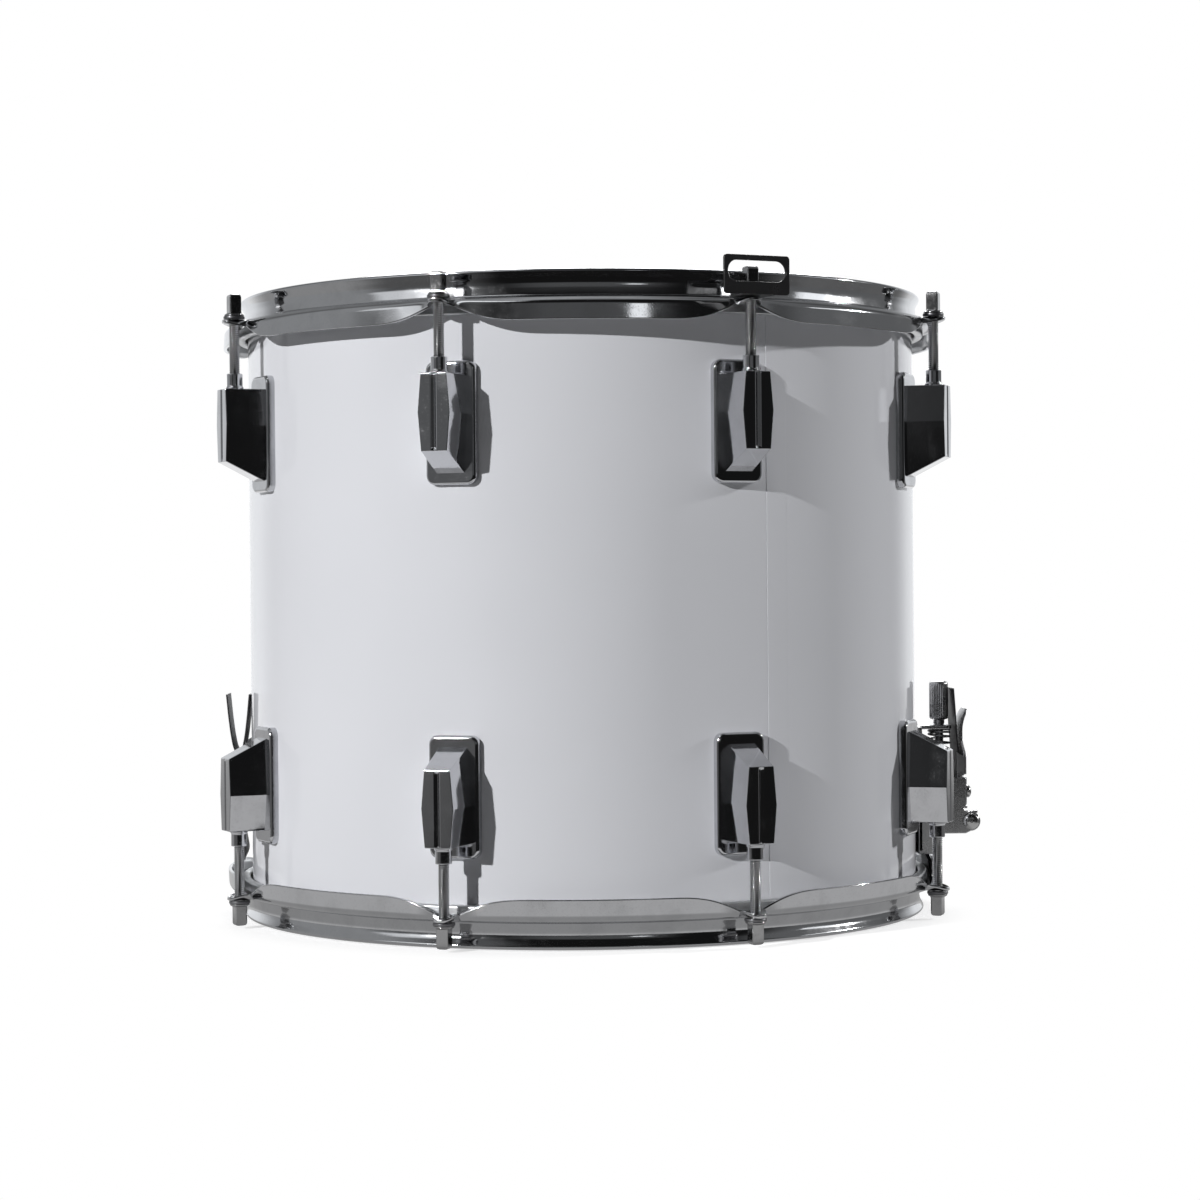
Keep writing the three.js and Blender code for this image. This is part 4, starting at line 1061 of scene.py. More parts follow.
@dataclass
class Heads:
    """The batter or snare head: its film and the flesh hoop that grips it."""

    datum: Datum
    side: Side
    film: float = 0.4
    seat: float = 0.3
    shoulder_inset: float = 1.7
    collar_gap: float = 0.5
    turn_drop: float = 4.1
    collar_drop: float = 8.4
    collar_round: float = 1.6
    flat_radius: float = 80.0
    pole_radius: float = 2.0
    hoop_width: float = 4.6
    hoop_height: float = 5.2
    hoop_drop: float = 5.8
    hoop_corner: float = 1.1
    steps: int = 240

    def film_piece(self) -> bpy.types.Object:
        """Returns the film: a thin section over the bearing edge and down its collar, turned round Z."""
        d = self.datum
        top = d.edge + self.seat + self.film
        shoulder = d.shell_radius - self.shoulder_inset
        collar = d.wrap_radius + self.collar_gap
        turn = top - self.turn_drop
        low = d.edge - self.collar_drop
        outer, under = collar + self.film, top - self.film
        profile = np.array([
            [self.pole_radius, top], [self.flat_radius, top], [shoulder, top], [outer, turn], [outer, low],
            [collar, low], [collar, turn - self.film / 2], [shoulder, under], [self.pole_radius, under],
        ])
        patch = lathe(eased(profile, self.collar_round, 5, closed=False), self.steps).on(self.side)
        finish = COATED_FILM if self.side is Side.BATTER else CLEAR_FILM
        piece = Piece(f"{self.side.value}_head.film", d).add(finish, patch)
        return piece.make("drum", f"{self.side.value}_film")

    def flesh_hoop(self) -> bpy.types.Object:
        """Returns the flesh hoop: a round-cornered bar turned round Z."""
        d = self.datum
        inner = d.wrap_radius + self.collar_gap + self.film + self.seat
        top = d.edge - self.hoop_drop
        centre = (inner + self.hoop_width / 2, top - self.hoop_height / 2)
        section = round_box(self.hoop_width, self.hoop_height, self.hoop_corner, centre, 5)
        patch = lathe(section, self.steps, ends=End.JOINED).on(self.side)
        piece = Piece(f"{self.side.value}_flesh_hoop.bar", d).add(BRUSHED_ALUMINIUM, patch)
        return piece.make("drum", "flesh_hoop_metal")

    def build(self) -> list[bpy.types.Object]:
        """Builds both pieces."""
        return [self.film_piece(), self.flesh_hoop()]


@dataclass
class CounterHoop:
    """A pressed counter hoop: rolled rim, wall, flange, and a skirt that arches up to an ear at each rod."""

    datum: Datum
    side: Side
    gates: tuple[float, ...] = ()
    metal: float = 1.8
    rim_reach: float = 4.2
    rim_rise: float = 10.1
    lip: float = 1.3
    waist_reach: float = 1.4
    waist_rise: float = 4.0
    root_reach: float = 2.8
    root_inner: float = 2.4
    root_rise: float = 0.8
    ridge_reach: float = 9.4
    skirt_reach: float = 12.8
    shoulder: float = 2.6
    skirt_drop: float = 11.4
    ear_reach: float = 22.5
    ear_half: float = 6.4
    ear_flat: float = 1.6
    ear_drop: float = 0.6
    ear_shoulder: float = 10.8
    arch_half: float = 40.0
    arch_ease: float = 2.5
    arch_soft: float = 0.05
    flange_inset: float = 3.7
    run_power: float = 1.35
    gate_width: float = 32.0
    gate_depth: float = 12.6
    gate_corner: float = 1.6
    gate_inset: float = 7.5
    rim_left: float = 4.2
    cuts: tuple[float, ...] = (1.1, 3.2, 1.0, 1.2, 1.6, 0.55, 0.55, 1.2, 1.3, 1.6, 0.9, 1.1)

    def stations(self) -> np.ndarray:
        """Returns distances from an ear's middle along the rods' circle, closer together at its corners."""
        half = self.datum.rod_radius * TURN / RODS / 2
        corner = np.sin(np.linspace(0, math.pi / 2, 9)[1:])
        run = np.linspace(0, 1, 19)[1:] ** self.run_power
        near = [
            np.linspace(0, self.ear_flat, 3),
            self.ear_flat + (self.ear_half - self.ear_flat) * corner,
            self.ear_half + (self.arch_half - self.ear_half) * run,
            np.linspace(self.arch_half, half, 10)[1:],
        ]
        reach = np.concatenate(near)
        return np.concatenate([-reach[::-1][:-1], reach[:-1]])

    def section(self, distance: np.ndarray) -> np.ndarray:
        """The section's corners at distances from an ear: radius and height, twelve for each distance.

        The skirt's share is 1 - (1 - t)^ease, where t goes from 0 at the ear's flat to 1 where the arch
        ends and starts softly. The ear's edge follows a quarter ellipse at each of its corners.

        Args:
            distance: distances from the nearest ear's middle, never negative.

        Returns:
            Points as (distances, 12, 2).
        """
        d = self.datum
        flange = d.edge - self.flange_inset
        ear_top = flange - self.ear_drop
        away = np.clip((distance - self.ear_flat) / (self.arch_half - self.ear_flat), 0, 1)
        away = away * away / (away + self.arch_soft) * (1 + self.arch_soft)
        arch = 1 - (1 - away) ** self.arch_ease
        corner = np.clip((distance - self.ear_flat) / (self.ear_half - self.ear_flat), 0, 1)
        lobe = np.sqrt(1 - corner**2)
        skirt = d.wrap_radius + self.skirt_reach
        ear = skirt + (self.ear_reach - self.skirt_reach) * lobe
        shoulder = d.wrap_radius + self.ear_shoulder
        waist = d.wrap_radius + self.waist_reach
        rim = d.wrap_radius + self.rim_reach
        rim_top = d.edge + self.rim_rise
        skirt_end = flange - self.skirt_drop
        under = flange - self.metal
        inner = waist - self.metal

        def between(first: np.ndarray | float, second: float) -> np.ndarray:
            """Returns the value between two values at the arch's share."""
            return first + (second - first) * arch

        corners = [
            (rim, rim_top - self.lip),
            (waist, d.edge + self.waist_rise),
            (d.wrap_radius + self.root_reach, flange + self.root_rise),
            (d.wrap_radius + self.ridge_reach, flange),
            (between(shoulder, skirt - self.metal / 4), between(ear_top, flange - self.shoulder)),
            (between(ear, skirt), between(ear_top, skirt_end)),
            (between(ear, skirt - self.metal), between(ear_top - self.metal, skirt_end)),
            (between(shoulder, skirt - self.metal), between(ear_top - self.metal, under - self.metal / 4)),
            (d.wrap_radius + self.root_inner, under + self.root_rise),
            (inner, d.edge + self.waist_rise - self.metal / 4),
            (inner, rim_top),
            (rim - self.lip, rim_top),
        ]
        pairs = [np.broadcast_arrays(*corner, arch)[:2] for corner in corners]
        return np.stack([np.stack(pair, axis=-1) for pair in pairs], axis=-2)

    def skin(self) -> Patch:
        """Returns the hoop's skin: the rounded section carried round the drum, joined to itself."""
        stations = self.stations()
        path = eased(self.section(np.abs(stations)), np.array(self.cuts), 5)
        turns = np.radians((np.arange(RODS) + 0.5) * 360 / RODS)
        angle = (turns[:, None] + stations / self.datum.rod_radius).reshape(-1, 1)
        section = np.tile(path, (RODS, 1, 1))
        radius, height = section[..., 0], section[..., 1]
        return tube(Axis.Z.place(radius * np.cos(angle), radius * np.sin(angle), height), End.JOINED)

    def gate(self, turn: float) -> Patch:
        """Returns the cutter of one gate for the snares' strap, turned to its place."""
        d = self.datum
        outer = d.wrap_radius + self.skirt_reach - self.metal * 1.25
        high = d.edge + self.rim_rise - self.rim_left
        centre = (0, high - self.gate_depth / 2)
        outline = round_box(self.gate_width, self.gate_depth, self.gate_corner, centre)
        return prism(outline, d.shell_radius - self.gate_inset, outer, Axis.X).turned(turn)

    def build(self) -> list[bpy.types.Object]:
        """Builds the hoop."""
        cutters = [self.gate(turn).on(self.side) for turn in self.gates]
        piece = Piece(f"{self.side.value}_hoop.pressed", self.datum).add(CHROME, self.skin().on(self.side))
        return [piece.make("drum", "hoop_chrome", cutters, sharp=50)]


def rod_places() -> Iterator[tuple[Side, int, float]]:
    """Yields the side, the number and the turn in degrees of each rod, head by head."""
    for side in Side:
        for number in range(1, RODS + 1):
            yield side, number, (number - 0.5) * 360 / RODS


@dataclass
class Lug:
    """A cast lug: bevelled base plate, faceted body with a groove, nut neck and two screws."""

    datum: Datum
    wall: float = 7.5
    end_inset: float = 32.8
    base_width: float = 26.0
    base_height: float = 59.5
    base_thickness: float = 3.5
    base_corner: float = 4.5
    rim: tuple[tuple[float, float], ...] = ((0.0, 1.3), (0.12, 1.1), (0.495, 0.45), (1.1, 0.05), (1.6, 0.0))
    reach: float = 23.7
    body_inset: float = 7.0
    front_length: float = 37.0
    slant: float = 10.2
    front_width: float = 13.3
    front_waist: float = 16.5
    foot_width: float = 14.6
    foot_waist: float = 17.8
    groove_width: float = 3.0
    groove_depth: float = 1.1
    groove_end: float = 1.4
    nut_radius: float = 4.0
    nut_length: float = 7.9
    nut_bore: float = 2.9
    screw_inset: float = 10.0

    @property
    def end(self) -> float:
        """The base plate's end nearer the hoop."""
        return self.datum.edge - self.end_inset

    def base(self) -> Patch:
        """Returns the base plate: round rectangles drawn in over the rim, the rearmost following the shell.

        The rear outline's depth is the root of R^2 - y^2, a hair outside the wrap.
        """
        hair = 0.05
        middle = self.end - self.base_height / 2
        front = self.datum.back + self.base_thickness
        lines = [
            inset_box(self.base_width, self.base_height, self.base_corner, inset) + np.array([0, middle])
            for inset in (0.0, *(inset for inset, _ in self.rim))
        ]
        rear = np.sqrt((self.datum.wrap_radius + hair) ** 2 - lines[0][:, 0] ** 2)
        return stack(lines, [rear, *(front - drop for _, drop in self.rim)], Axis.X)

    def body(self) -> Patch:
        """Returns the faceted body: a slab from the foot's hexagon to the front's, with a V groove.

        Columns lie at the sides, the groove's edges and its bottom; rows at the ends, the waist and
        near both ends, so that the groove runs out just before the slanted face.
        """
        d = self.datum
        top = self.end - self.body_inset
        low = top - self.front_length
        groove = self.groove_width / 2
        front_x, foot_x = d.wrap_radius + self.reach, d.back + self.base_thickness - 0.6

        share = np.array([0.0, 2 * self.groove_end / self.front_length, 1.0])
        share = np.concatenate([share, share[1::-1]])

        def grid(x: float, ends: float, waist: float, low: float, depth: float) -> np.ndarray:
            """Returns five rows of five points at a depth, with the middle column sunk."""
            half = (ends + (waist - ends) * share) / 2
            middle = top - self.front_length / 2
            levels = np.concatenate([top + (middle - top) * share[:3], low + (middle - low) * share[3:]])
            y = np.stack([-half, np.full(5, -groove), np.zeros(5), np.full(5, groove), half], axis=1)
            sunk = np.zeros((5, 5))
            sunk[:-1, 2] = depth
            return np.stack(np.broadcast_arrays(x - sunk, y, levels[:, None]), axis=-1)

        front = grid(front_x, self.front_width, self.front_waist, low, self.groove_depth)
        foot = grid(foot_x, self.foot_width, self.foot_waist, low - self.slant, 0.0)
        return bevelled(slab(front, foot), 0.32, 3, 6)

    def neck(self) -> Patch:
        """Returns the swivel nut's neck: a bored tube with a rounded mouth."""
        top = self.end - self.body_inset
        mouth = top + self.nut_length
        collar = self.nut_radius + 0.5
        corners = [
            [self.nut_bore, top - 1], [collar, top - 1], [collar, top + 0.9],
            [self.nut_radius, top + 1.5], [self.nut_radius, mouth], [self.nut_bore, mouth],
        ]
        return annulus(corners, 0.45).moved(x=self.datum.rod_radius)

    def build(self) -> list[bpy.types.Object]:
        """Builds the lugs of both heads from one set of patches on the +X side of the batter head."""
        tip = self.datum.back + self.base_thickness - 1
        levels = [self.end - self.screw_inset, self.end - self.base_height + self.screw_inset]
        casting = [self.base(), self.body(), self.neck()]
        screws = [shell_screw(self.datum, self.wall, tip, level) for level in levels]
        made = []
        for side, number, turn in rod_places():
            piece = Piece(f"{side.value}_lug_{number}.cast", self.datum)
            for finish, patches in ((CAST_CHROME, casting), (SCREW_STEEL, screws)):
                piece.add(finish, *(patch.on(side).turned(turn) for patch in patches))
            made.append(piece.make("drum", "lug_chrome"))
        return made


@dataclass
class TensionRod:
    """A tension rod: threaded shank, washer, flanged collar and square head with a dome."""

    datum: Datum
    radius: float = 2.75
    head_side: float = 6.2
    head_height: float = 9.8
    head_corner: float = 0.7
    collar_radius: float = 5.0
    collar_height: float = 1.6
    washer_radius: float = 5.4
    washer_height: float = 1.4
    thread_pitch: float = 1.06
    thread_depth: float = 0.42
    plain: float = 4.0
    bore_radius: float = 2.4
    dome: tuple[tuple[float, float], ...] = ((0.0, 1.7), (0.12, 1.1), (0.5, 0.55), (1.15, 0.18), (2.0, 0.0))
    foot: tuple[tuple[float, float], ...] = ((-0.25, -0.3), (0.0, 0.5))

    def head(self, collar_top: float, top: float) -> Patch:
        """Returns the square head: round squares drawn in towards the top like a dome over a square."""
        levels = [(inset, collar_top + rise) for inset, rise in self.foot]
        levels += [(inset, top - drop) for inset, drop in self.dome]
        lines = [inset_box(self.head_side, self.head_side, self.head_corner, inset) for inset, _ in levels]
        return stack(lines, [level for _, level in levels])

    def patches(self, low: float, top: float) -> list[tuple[Finish, Patch]]:
        """Returns the rod's patches about its own axis.

        Args:
            low: the shank's end.
            top: the head's top.
        """
        collar_top = top - self.head_height
        washer_top = collar_top - self.collar_height
        centre = ((self.washer_radius + self.radius) / 2, washer_top - self.washer_height / 2)
        washer = round_box(self.washer_radius - self.radius, self.washer_height, 0.3, centre, 3)
        collar = [
            [self.bore_radius, washer_top], [self.collar_radius, washer_top],
            [self.collar_radius, washer_top + self.collar_height / 2],
            [self.head_side / 2 + 0.6, collar_top], [self.bore_radius, collar_top],
        ]
        end = washer_top + 0.3
        return [
            (ROD_CHROME, helix_rod(self.radius, low, end, self.thread_pitch, self.thread_depth, self.plain)),
            (WASHER_STEEL, lathe(washer, 48, ends=End.JOINED)),
            (ROD_CHROME, annulus(collar, 0.35, arc_steps=3)),
            (ROD_CHROME, self.head(collar_top, top)),
        ]

    def build(self) -> list[bpy.types.Object]:
        """Builds the rods of both heads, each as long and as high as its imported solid."""
        made = []
        for side, number, turn in rod_places():
            node = f"{side.value}_tension_rod_{number}"
            low, high = np.sort(np.abs(self.datum.span(node)[:, 2]))
            piece = Piece(f"{node}.threaded", self.datum)
            for finish, patch in self.patches(low, high):
                piece.add(finish, patch.moved(x=self.datum.rod_radius).on(side).turned(turn))
            made.append(piece.make(f"{side.value}_rod_{number}", "rod_chrome"))
        return made


@dataclass
class SlingBracket:
    """The sling bracket: a foot under one rod's washer and an upright plate with an oblong window."""

    datum: Datum
    turn: float = 292.5
    metal: float = 1.6
    foot_width: float = 16.0
    foot_back: float = 10.8
    plate_reach: float = 28.0
    plate_width: float = 35.0
    plate_height: float = 18.6
    plate_shift: float = -2.4
    corner: float = 1.7
    window_width: float = 31.0
    window_height: float = 10.0
    window_inset: float = 2.6
    bend: float = 2.4
    bend_gap: float = 0.05

    def build(self) -> list[bpy.types.Object]:
        """Builds the bracket: a ring of plate round the window, and a foot that curves up into it."""
        d = self.datum
        low = d.span("sling_bracket")[0, 2]
        front = d.wrap_radius + self.plate_reach
        behind = front - self.metal
        middle = (self.plate_shift, low + self.plate_height / 2)
        window = (self.plate_shift, low + self.plate_height - self.window_inset - self.window_height / 2)
        outer = round_box(self.plate_width, self.plate_height, self.corner, middle, 10)
        inner = round_box(self.window_width, self.window_height, self.window_height / 2 - 0.05, window, 10)
        sheet = stack((outer, inner, inner, outer), (front, front, behind, behind), Axis.X, End.JOINED)
        face = bevelled(sheet, 0.3, 3, 40)
        bend = (front - self.bend - self.bend_gap, low + self.bend)
        under = arc(bend, self.bend, -90, 0, 8)
        over = arc(bend, self.bend - self.metal, 0, -90, 8)
        back = d.wrap_radius + self.foot_back
        outline = np.concatenate([[[back, low]], under, over, [[back, low + self.metal]]])
        foot = bevelled(prism(outline, -self.foot_width / 2, self.foot_width / 2, Axis.Y), 0.25, 2, 40)
        piece = Piece("sling_bracket.plate", d)
        piece.add(BRACKET_BLACK, face.turned(self.turn), foot.turned(self.turn))
        return [piece.make("drum", "bracket_black")]


@dataclass
class Strainer:
    """The strainer: base, knob, spring, carriage, lever, clamp and their screws."""

    datum: Datum
    wall: float = 7.5
    seat: float = 0.3
    base_metal: float = 2.0
    base_corner: float = 2.0
    plate_edge: float = 0.35
    pressed_edge: float = 0.3
    tab_width: float = 24.0
    tab_reach: float = 20.7
    tab_corner: float = 4.0
    rail: float = 6.0
    rail_metal: float = 1.6
    rail_drop: float = 26.0
    screw_drop: float = 10.0
    knob_radius: float = 5.1
    knob_neck: float = 2.6
    neck_radius: float = 3.0
    cove: float = 0.7
    crown: tuple[tuple[float, float], ...] = ((0.0, 1.3), (0.35, 0.6), (1.0, 0.12), (1.9, 0.0), (4.3, 0.35))
    ridges: int = 30
    ridge_depth: float = 0.32
    ridge_low: tuple[float, float] = (0.7, 1.5)
    ridge_high: tuple[float, float] = (1.4, 2.4)
    screw_radius: float = 2.5
    screw_pitch: float = 0.8
    screw_depth: float = 0.3
    screw_plain: float = 4.0
    wire: float = 1.2
    coil_radius: float = 5.6
    curls: float = 5.0
    flatness: float = 0.55
    cheek_inner: float = 20.6
    cheek_metal: float = 2.2
    wall_metal: float = 2.0
    cheek_edge: float = 0.45
    carriage_reach: float = 26.0
    carriage_front: float = 15.0
    notch: float = 1.4
    notch_drop: float = 2.0
    bridge: float = 4.0
    bridge_reach: float = 19.6
    boss_radius: float = 6.0
    heel: float = 3.0
    lobe: float = 5.22
    lever_metal: float = 1.5
    arm_inner: float = 18.4
    arm_metal: float = 1.8
    arm_depth: float = 3.6
    lever_face: float = 26.8
    lever_lower: float = 1.6
    shoulder_rise: float = 12.0
    shoulder_ease: tuple[float, float] = (-3.0, 7.0)
    lever_bend: float = 12.0
    lever_flare: float = 3.25
    lever_crown: float = 0.2
    lever_clear: float = 0.5
    tip_half: float = 9.0
    tip_round: float = 2.6
    tip_length: float = 3.2
    knuckle: float = 4.6
    stud_radius: float = 2.0
    stud_offset: float = 2.2
    stud_inner: float = 13.2
    clamp_inner: float = 19.0
    clamp_face: float = 23.1
    clamp_half: float = 18.0
    clamp_inset: float = 4.5
    clamp_height: float = 11.5
    fork_drop: float = 5.7
    foot_inner: float = 13.0
    foot_wall: float = 1.4
    foot_reach: float = 33.0
    running: float = 0.4
    knob_x: float = field(init=False)
    base_low: float = field(init=False)
    base_top: float = field(init=False)
    boss_top: float = field(init=False)
    top: float = field(init=False)
    low: float = field(init=False)
    pivot: tuple[float, float] = field(init=False)

    def __post_init__(self) -> None:
        """Reads the strainer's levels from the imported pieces."""
        span = self.datum.span
        self.knob_x = float(span("strainer_knob")[:, 0].mean())
        self.base_low, self.base_top = span("strainer_base")[:, 2]
        self.low, self.boss_top = span("strainer_carriage")[:, 2]
        self.top = float(span("strainer_clamp_plate")[1, 2])
        screw = span("strainer_pivot_screw_front").mean(axis=0)
        self.pivot = (float(screw[0]), float(screw[2]))

    def base(self) -> bpy.types.Object:
        """Returns the base: a plate on the shell, a tab for the knob's screw and a rail at each side."""
        d = self.datum
        half = self.cheek_inner + self.cheek_metal + self.seat
        width = 2 * (half + self.rail_metal)
        height = self.base_top - self.base_low
        face = d.back + self.base_metal
        middle = (0.0, (self.base_top + self.base_low) / 2)
        piece = Piece("strainer_base.pressed", d)
        sheet = plate(width, height, self.base_corner, d.under, face, middle, self.plate_edge)
        tip = d.wrap_radius + self.tab_reach
        tab_half = self.tab_width / 2
        corners = np.array([[d.back, -tab_half], [tip, -tab_half], [tip, tab_half], [d.back, tab_half]])
        outline = eased(corners, np.array([0.4, self.tab_corner, self.tab_corner, 0.4]), 6)
        tab = prism(outline, self.base_top - self.base_metal, self.base_top)
        piece.add(DARK_CHROME, sheet, bevelled(tab, self.plate_edge))
        levels = (self.base_low, self.base_top - self.rail_drop)
        for sign in (1, -1):
            inner, outer = sorted((sign * half, sign * (half + self.rail_metal)))
            rail = box((d.back, face + self.rail), (inner, outer), levels)
            piece.add(DARK_CHROME, bevelled(rail, self.pressed_edge))
        for level in (self.base_top - self.base_metal - self.screw_drop, self.base_low + 2 * self.base_metal):
            piece.add(SCREW_STEEL, shell_screw(d, self.wall, face - 0.5, level))
        return piece.make("drum", "strainer_chrome")

    def knob(self) -> bpy.types.Object:
        """Returns the knob: rings whose radius dips between vertical ridges, over a threaded screw."""
        d = self.datum
        low, high = d.span("strainer_knob")[:, 2]
        shoulder = self.base_top + self.seat + self.knob_neck
        radius, neck = self.knob_radius, self.neck_radius
        profile = np.array([
            [neck, shoulder - self.knob_neck], [neck, shoulder - 0.5], [neck + self.cove, shoulder],
            [radius - self.cove, shoulder], [radius, shoulder + self.cove],
            *[[radius, level] for level in np.linspace(shoulder + 1.2, high - 2.0, 12)],
            *[[radius - inset, high - drop] for inset, drop in self.crown],
        ])
        places = self.ridges * 8
        angle = np.arange(places) * TURN / places
        level = profile[:, 1:]
        band = soft_step(level - shoulder, *self.ridge_low) * soft_step(high - level, *self.ridge_high)
        dip = self.ridge_depth * (0.5 - 0.5 * np.cos(angle * self.ridges)) ** 1.5
        reach = profile[:, :1] - band * dip
        grip = tube(Axis.Z.place(reach * np.cos(angle), reach * np.sin(angle), level))
        end = self.base_top + self.seat + self.running
        screw = helix_rod(self.screw_radius, low, end, self.screw_pitch, self.screw_depth, self.screw_plain)
        piece = Piece("strainer_knob.knurled", d)
        piece.add(DARK_CHROME, grip.moved(x=self.knob_x)).add(SCREW_STEEL, screw.moved(x=self.knob_x))
        return piece.make("strainer_knob", "strainer_chrome")

    def spring(self) -> bpy.types.Object:
        """Returns the spring: a wire along a helix whose first and last half turns lie nearly flat.

        The height falls with the share s of the turns as s - f sin(2 pi s) / (2 pi), with f the flatness.
        """
        d = self.datum
        low, high = d.span("strainer_spring")[:, 2]
        turns = self.curls + 1
        share = np.linspace(0, 1, int(turns * 28) + 1)
        eased_share = share - self.flatness * np.sin(TURN * share) / TURN
        angle = share * turns * TURN
        level = high - self.wire / 2 - (high - low - self.wire) * eased_share
        out = np.stack([np.cos(angle), np.sin(angle), np.zeros_like(angle)], axis=-1)
        centre = out * self.coil_radius + np.array([self.knob_x, 0, 0])
        centre[:, 2] = level
        round_wire = np.arange(12) * TURN / 12
        up = np.array([0, 0, 1.0])
        across = np.cos(round_wire)[None, :, None] * out[:, None, :]
        rings = centre[:, None, :] + self.wire / 2 * (across + np.sin(round_wire)[None, :, None] * up)
        piece = Piece("strainer_spring.coil", d).add(SPRING_STEEL, tube(rings)).make("", "spring_steel")
        start, end = d.point(self.knob_x, high), d.point(self.knob_x, low)
        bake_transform(piece)
        return piece

    def carriage(self) -> bpy.types.Object:
        """Returns the carriage: two cheeks with a lobe at the pivot, a back wall, a bridge and a boss."""
        d = self.datum
        back = d.back + self.base_metal + self.seat
        reach = d.wrap_radius + self.carriage_reach
        px = self.pivot[0]
        notch_level = self.top - self.carriage_front
        outline = np.concatenate([
            [[back, self.top], [back, self.low + self.heel], [back + self.heel, self.low]],
            [[px - self.lobe / 2, self.low]],
            arc(self.pivot, self.lobe, -90, 112.5, 20),
            [[reach - self.notch, notch_level - self.notch_drop], [reach, notch_level], [reach, self.top]],
        ])
        outer = self.cheek_inner + self.cheek_metal
        cheek = bevelled(prism(outline, self.cheek_inner, outer, Axis.Y), self.cheek_edge, 3)
        wall = box((back, back + self.wall_metal), (-outer, outer), (self.low + self.heel, self.top))
        bridge_low = self.top - self.bridge
        bridge = box((back, d.wrap_radius + self.bridge_reach), (-outer, outer), (bridge_low, self.top))
        bore = self.screw_radius + self.seat
        section = [
            [bore, bridge_low], [self.boss_radius, bridge_low],
            [self.boss_radius, self.boss_top], [bore, self.boss_top],
        ]
        boss = annulus(section, 0.6, 64).moved(x=self.knob_x)
        piece = Piece("strainer_carriage.cast", d)
        wall, bridge = bevelled(wall, self.pressed_edge), bevelled(bridge, 0.5)
        piece.add(DARK_CHROME, cheek, cheek.mirrored(), wall, bridge, boss)
        return piece.make("strainer_carriage", "strainer_chrome")

    def pivot_screws(self) -> list[bpy.types.Object]:
        """Returns the two domed screws that the lever swings on."""
        outer = self.cheek_inner + self.cheek_metal + self.seat
        screw = domed_screw(self.arm_inner + self.seat, outer, 2.0, 4.3, 2.6, 0.0)
        upright = Patch(screw.points[:, [0, 2, 1]], [group[:, ::-1] for group in screw.faces])
        there = upright.moved(x=self.pivot[0], z=self.pivot[1])
        made = []
        for name, patch in (("back", there), ("front", there.mirrored())):
            piece = Piece(f"strainer_pivot_screw_{name}.domed", self.datum).add(SCREW_STEEL, patch)
            made.append(piece.make("strainer_carriage", "fastener_steel"))
        return made

    def lever(self) -> bpy.types.Object:
        """Returns the lever: a face that narrows to a flared tip, two arms and an eccentric stud on each.

        The face's line runs straight up and then curls out, and its half width falls from the arms' to
        the tip's over a soft shoulder.
        """
        d = self.datum
        px, pz = self.pivot
        outer = d.wrap_radius + self.lever_face
        inner = outer - self.lever_metal
        low = self.top + self.lever_lower
        shoulder = low + self.shoulder_rise
        high = d.span("strainer_lever")[1, 2] - self.lever_clear
        arm_outer = self.arm_inner + self.arm_metal
        share = np.linspace(0, 1, 41)
        level = low + (high - low) * share
        bend = np.clip((level - (high - self.lever_bend)) / self.lever_bend, 0, 1)
        line = outer + self.lever_flare * bend**2.2
        slope = np.gradient(line, level)
        lean = np.sqrt(1 + slope**2)
        arm_share = 1 - soft_step(level - shoulder, *self.shoulder_ease)
        half = self.tip_half + (arm_outer - self.tip_half) * arm_share
        half = half - self.tip_round * soft_step(level, high - self.tip_length, high) ** 2
        across = np.linspace(-1, 1, 13)
        y = half[:, None] * across
        crown = self.lever_crown * (1 - across**2) * soft_step(level, shoulder, high)[:, None]
        front = np.stack(np.broadcast_arrays(line[:, None] - crown, y, level[:, None]), axis=-1)
        offset = np.stack([-self.lever_metal / lean, 0 * lean, self.lever_metal * slope / lean], axis=-1)
        face = bevelled(slab(front, front + offset[:, None, :]), self.pressed_edge, 3, 35)
        back = inner - self.arm_depth
        strip = inner - self.lever_metal
        outline = np.concatenate([
            [[back, shoulder], [back, pz], [px - self.knuckle / 2, pz - self.knuckle]],
            arc(self.pivot, self.knuckle, -90, 90, 16),
            [[strip, pz + self.knuckle + self.lever_metal], [strip, low - self.lever_metal],
             [outer - self.lever_metal / 2, low],
             [outer - self.lever_metal / 2, shoulder + self.shoulder_ease[0]]],
        ])
        arm = bevelled(prism(outline, self.arm_inner, arm_outer, Axis.Y), self.pressed_edge, 2, 35)
        stud_x, stud_z = self.stud()
        profile = np.array([[self.stud_radius, self.stud_inner], [self.stud_radius, self.arm_inner + 0.5]])
        stud = lathe(profile, 32, Axis.Y).moved(x=stud_x, z=stud_z)
        piece = Piece("strainer_lever.bent", d)
        piece.add(DARK_CHROME, face, arm, arm.mirrored(), stud, stud.mirrored())
        return piece.make("strainer_lever", "strainer_chrome")

    def stud(self) -> tuple[float, float]:
        """Returns the middle of the eccentric studs in X and Z."""
        step = self.stud_offset * math.sqrt(0.5)
        return (self.pivot[0] + step, self.pivot[1] + step)

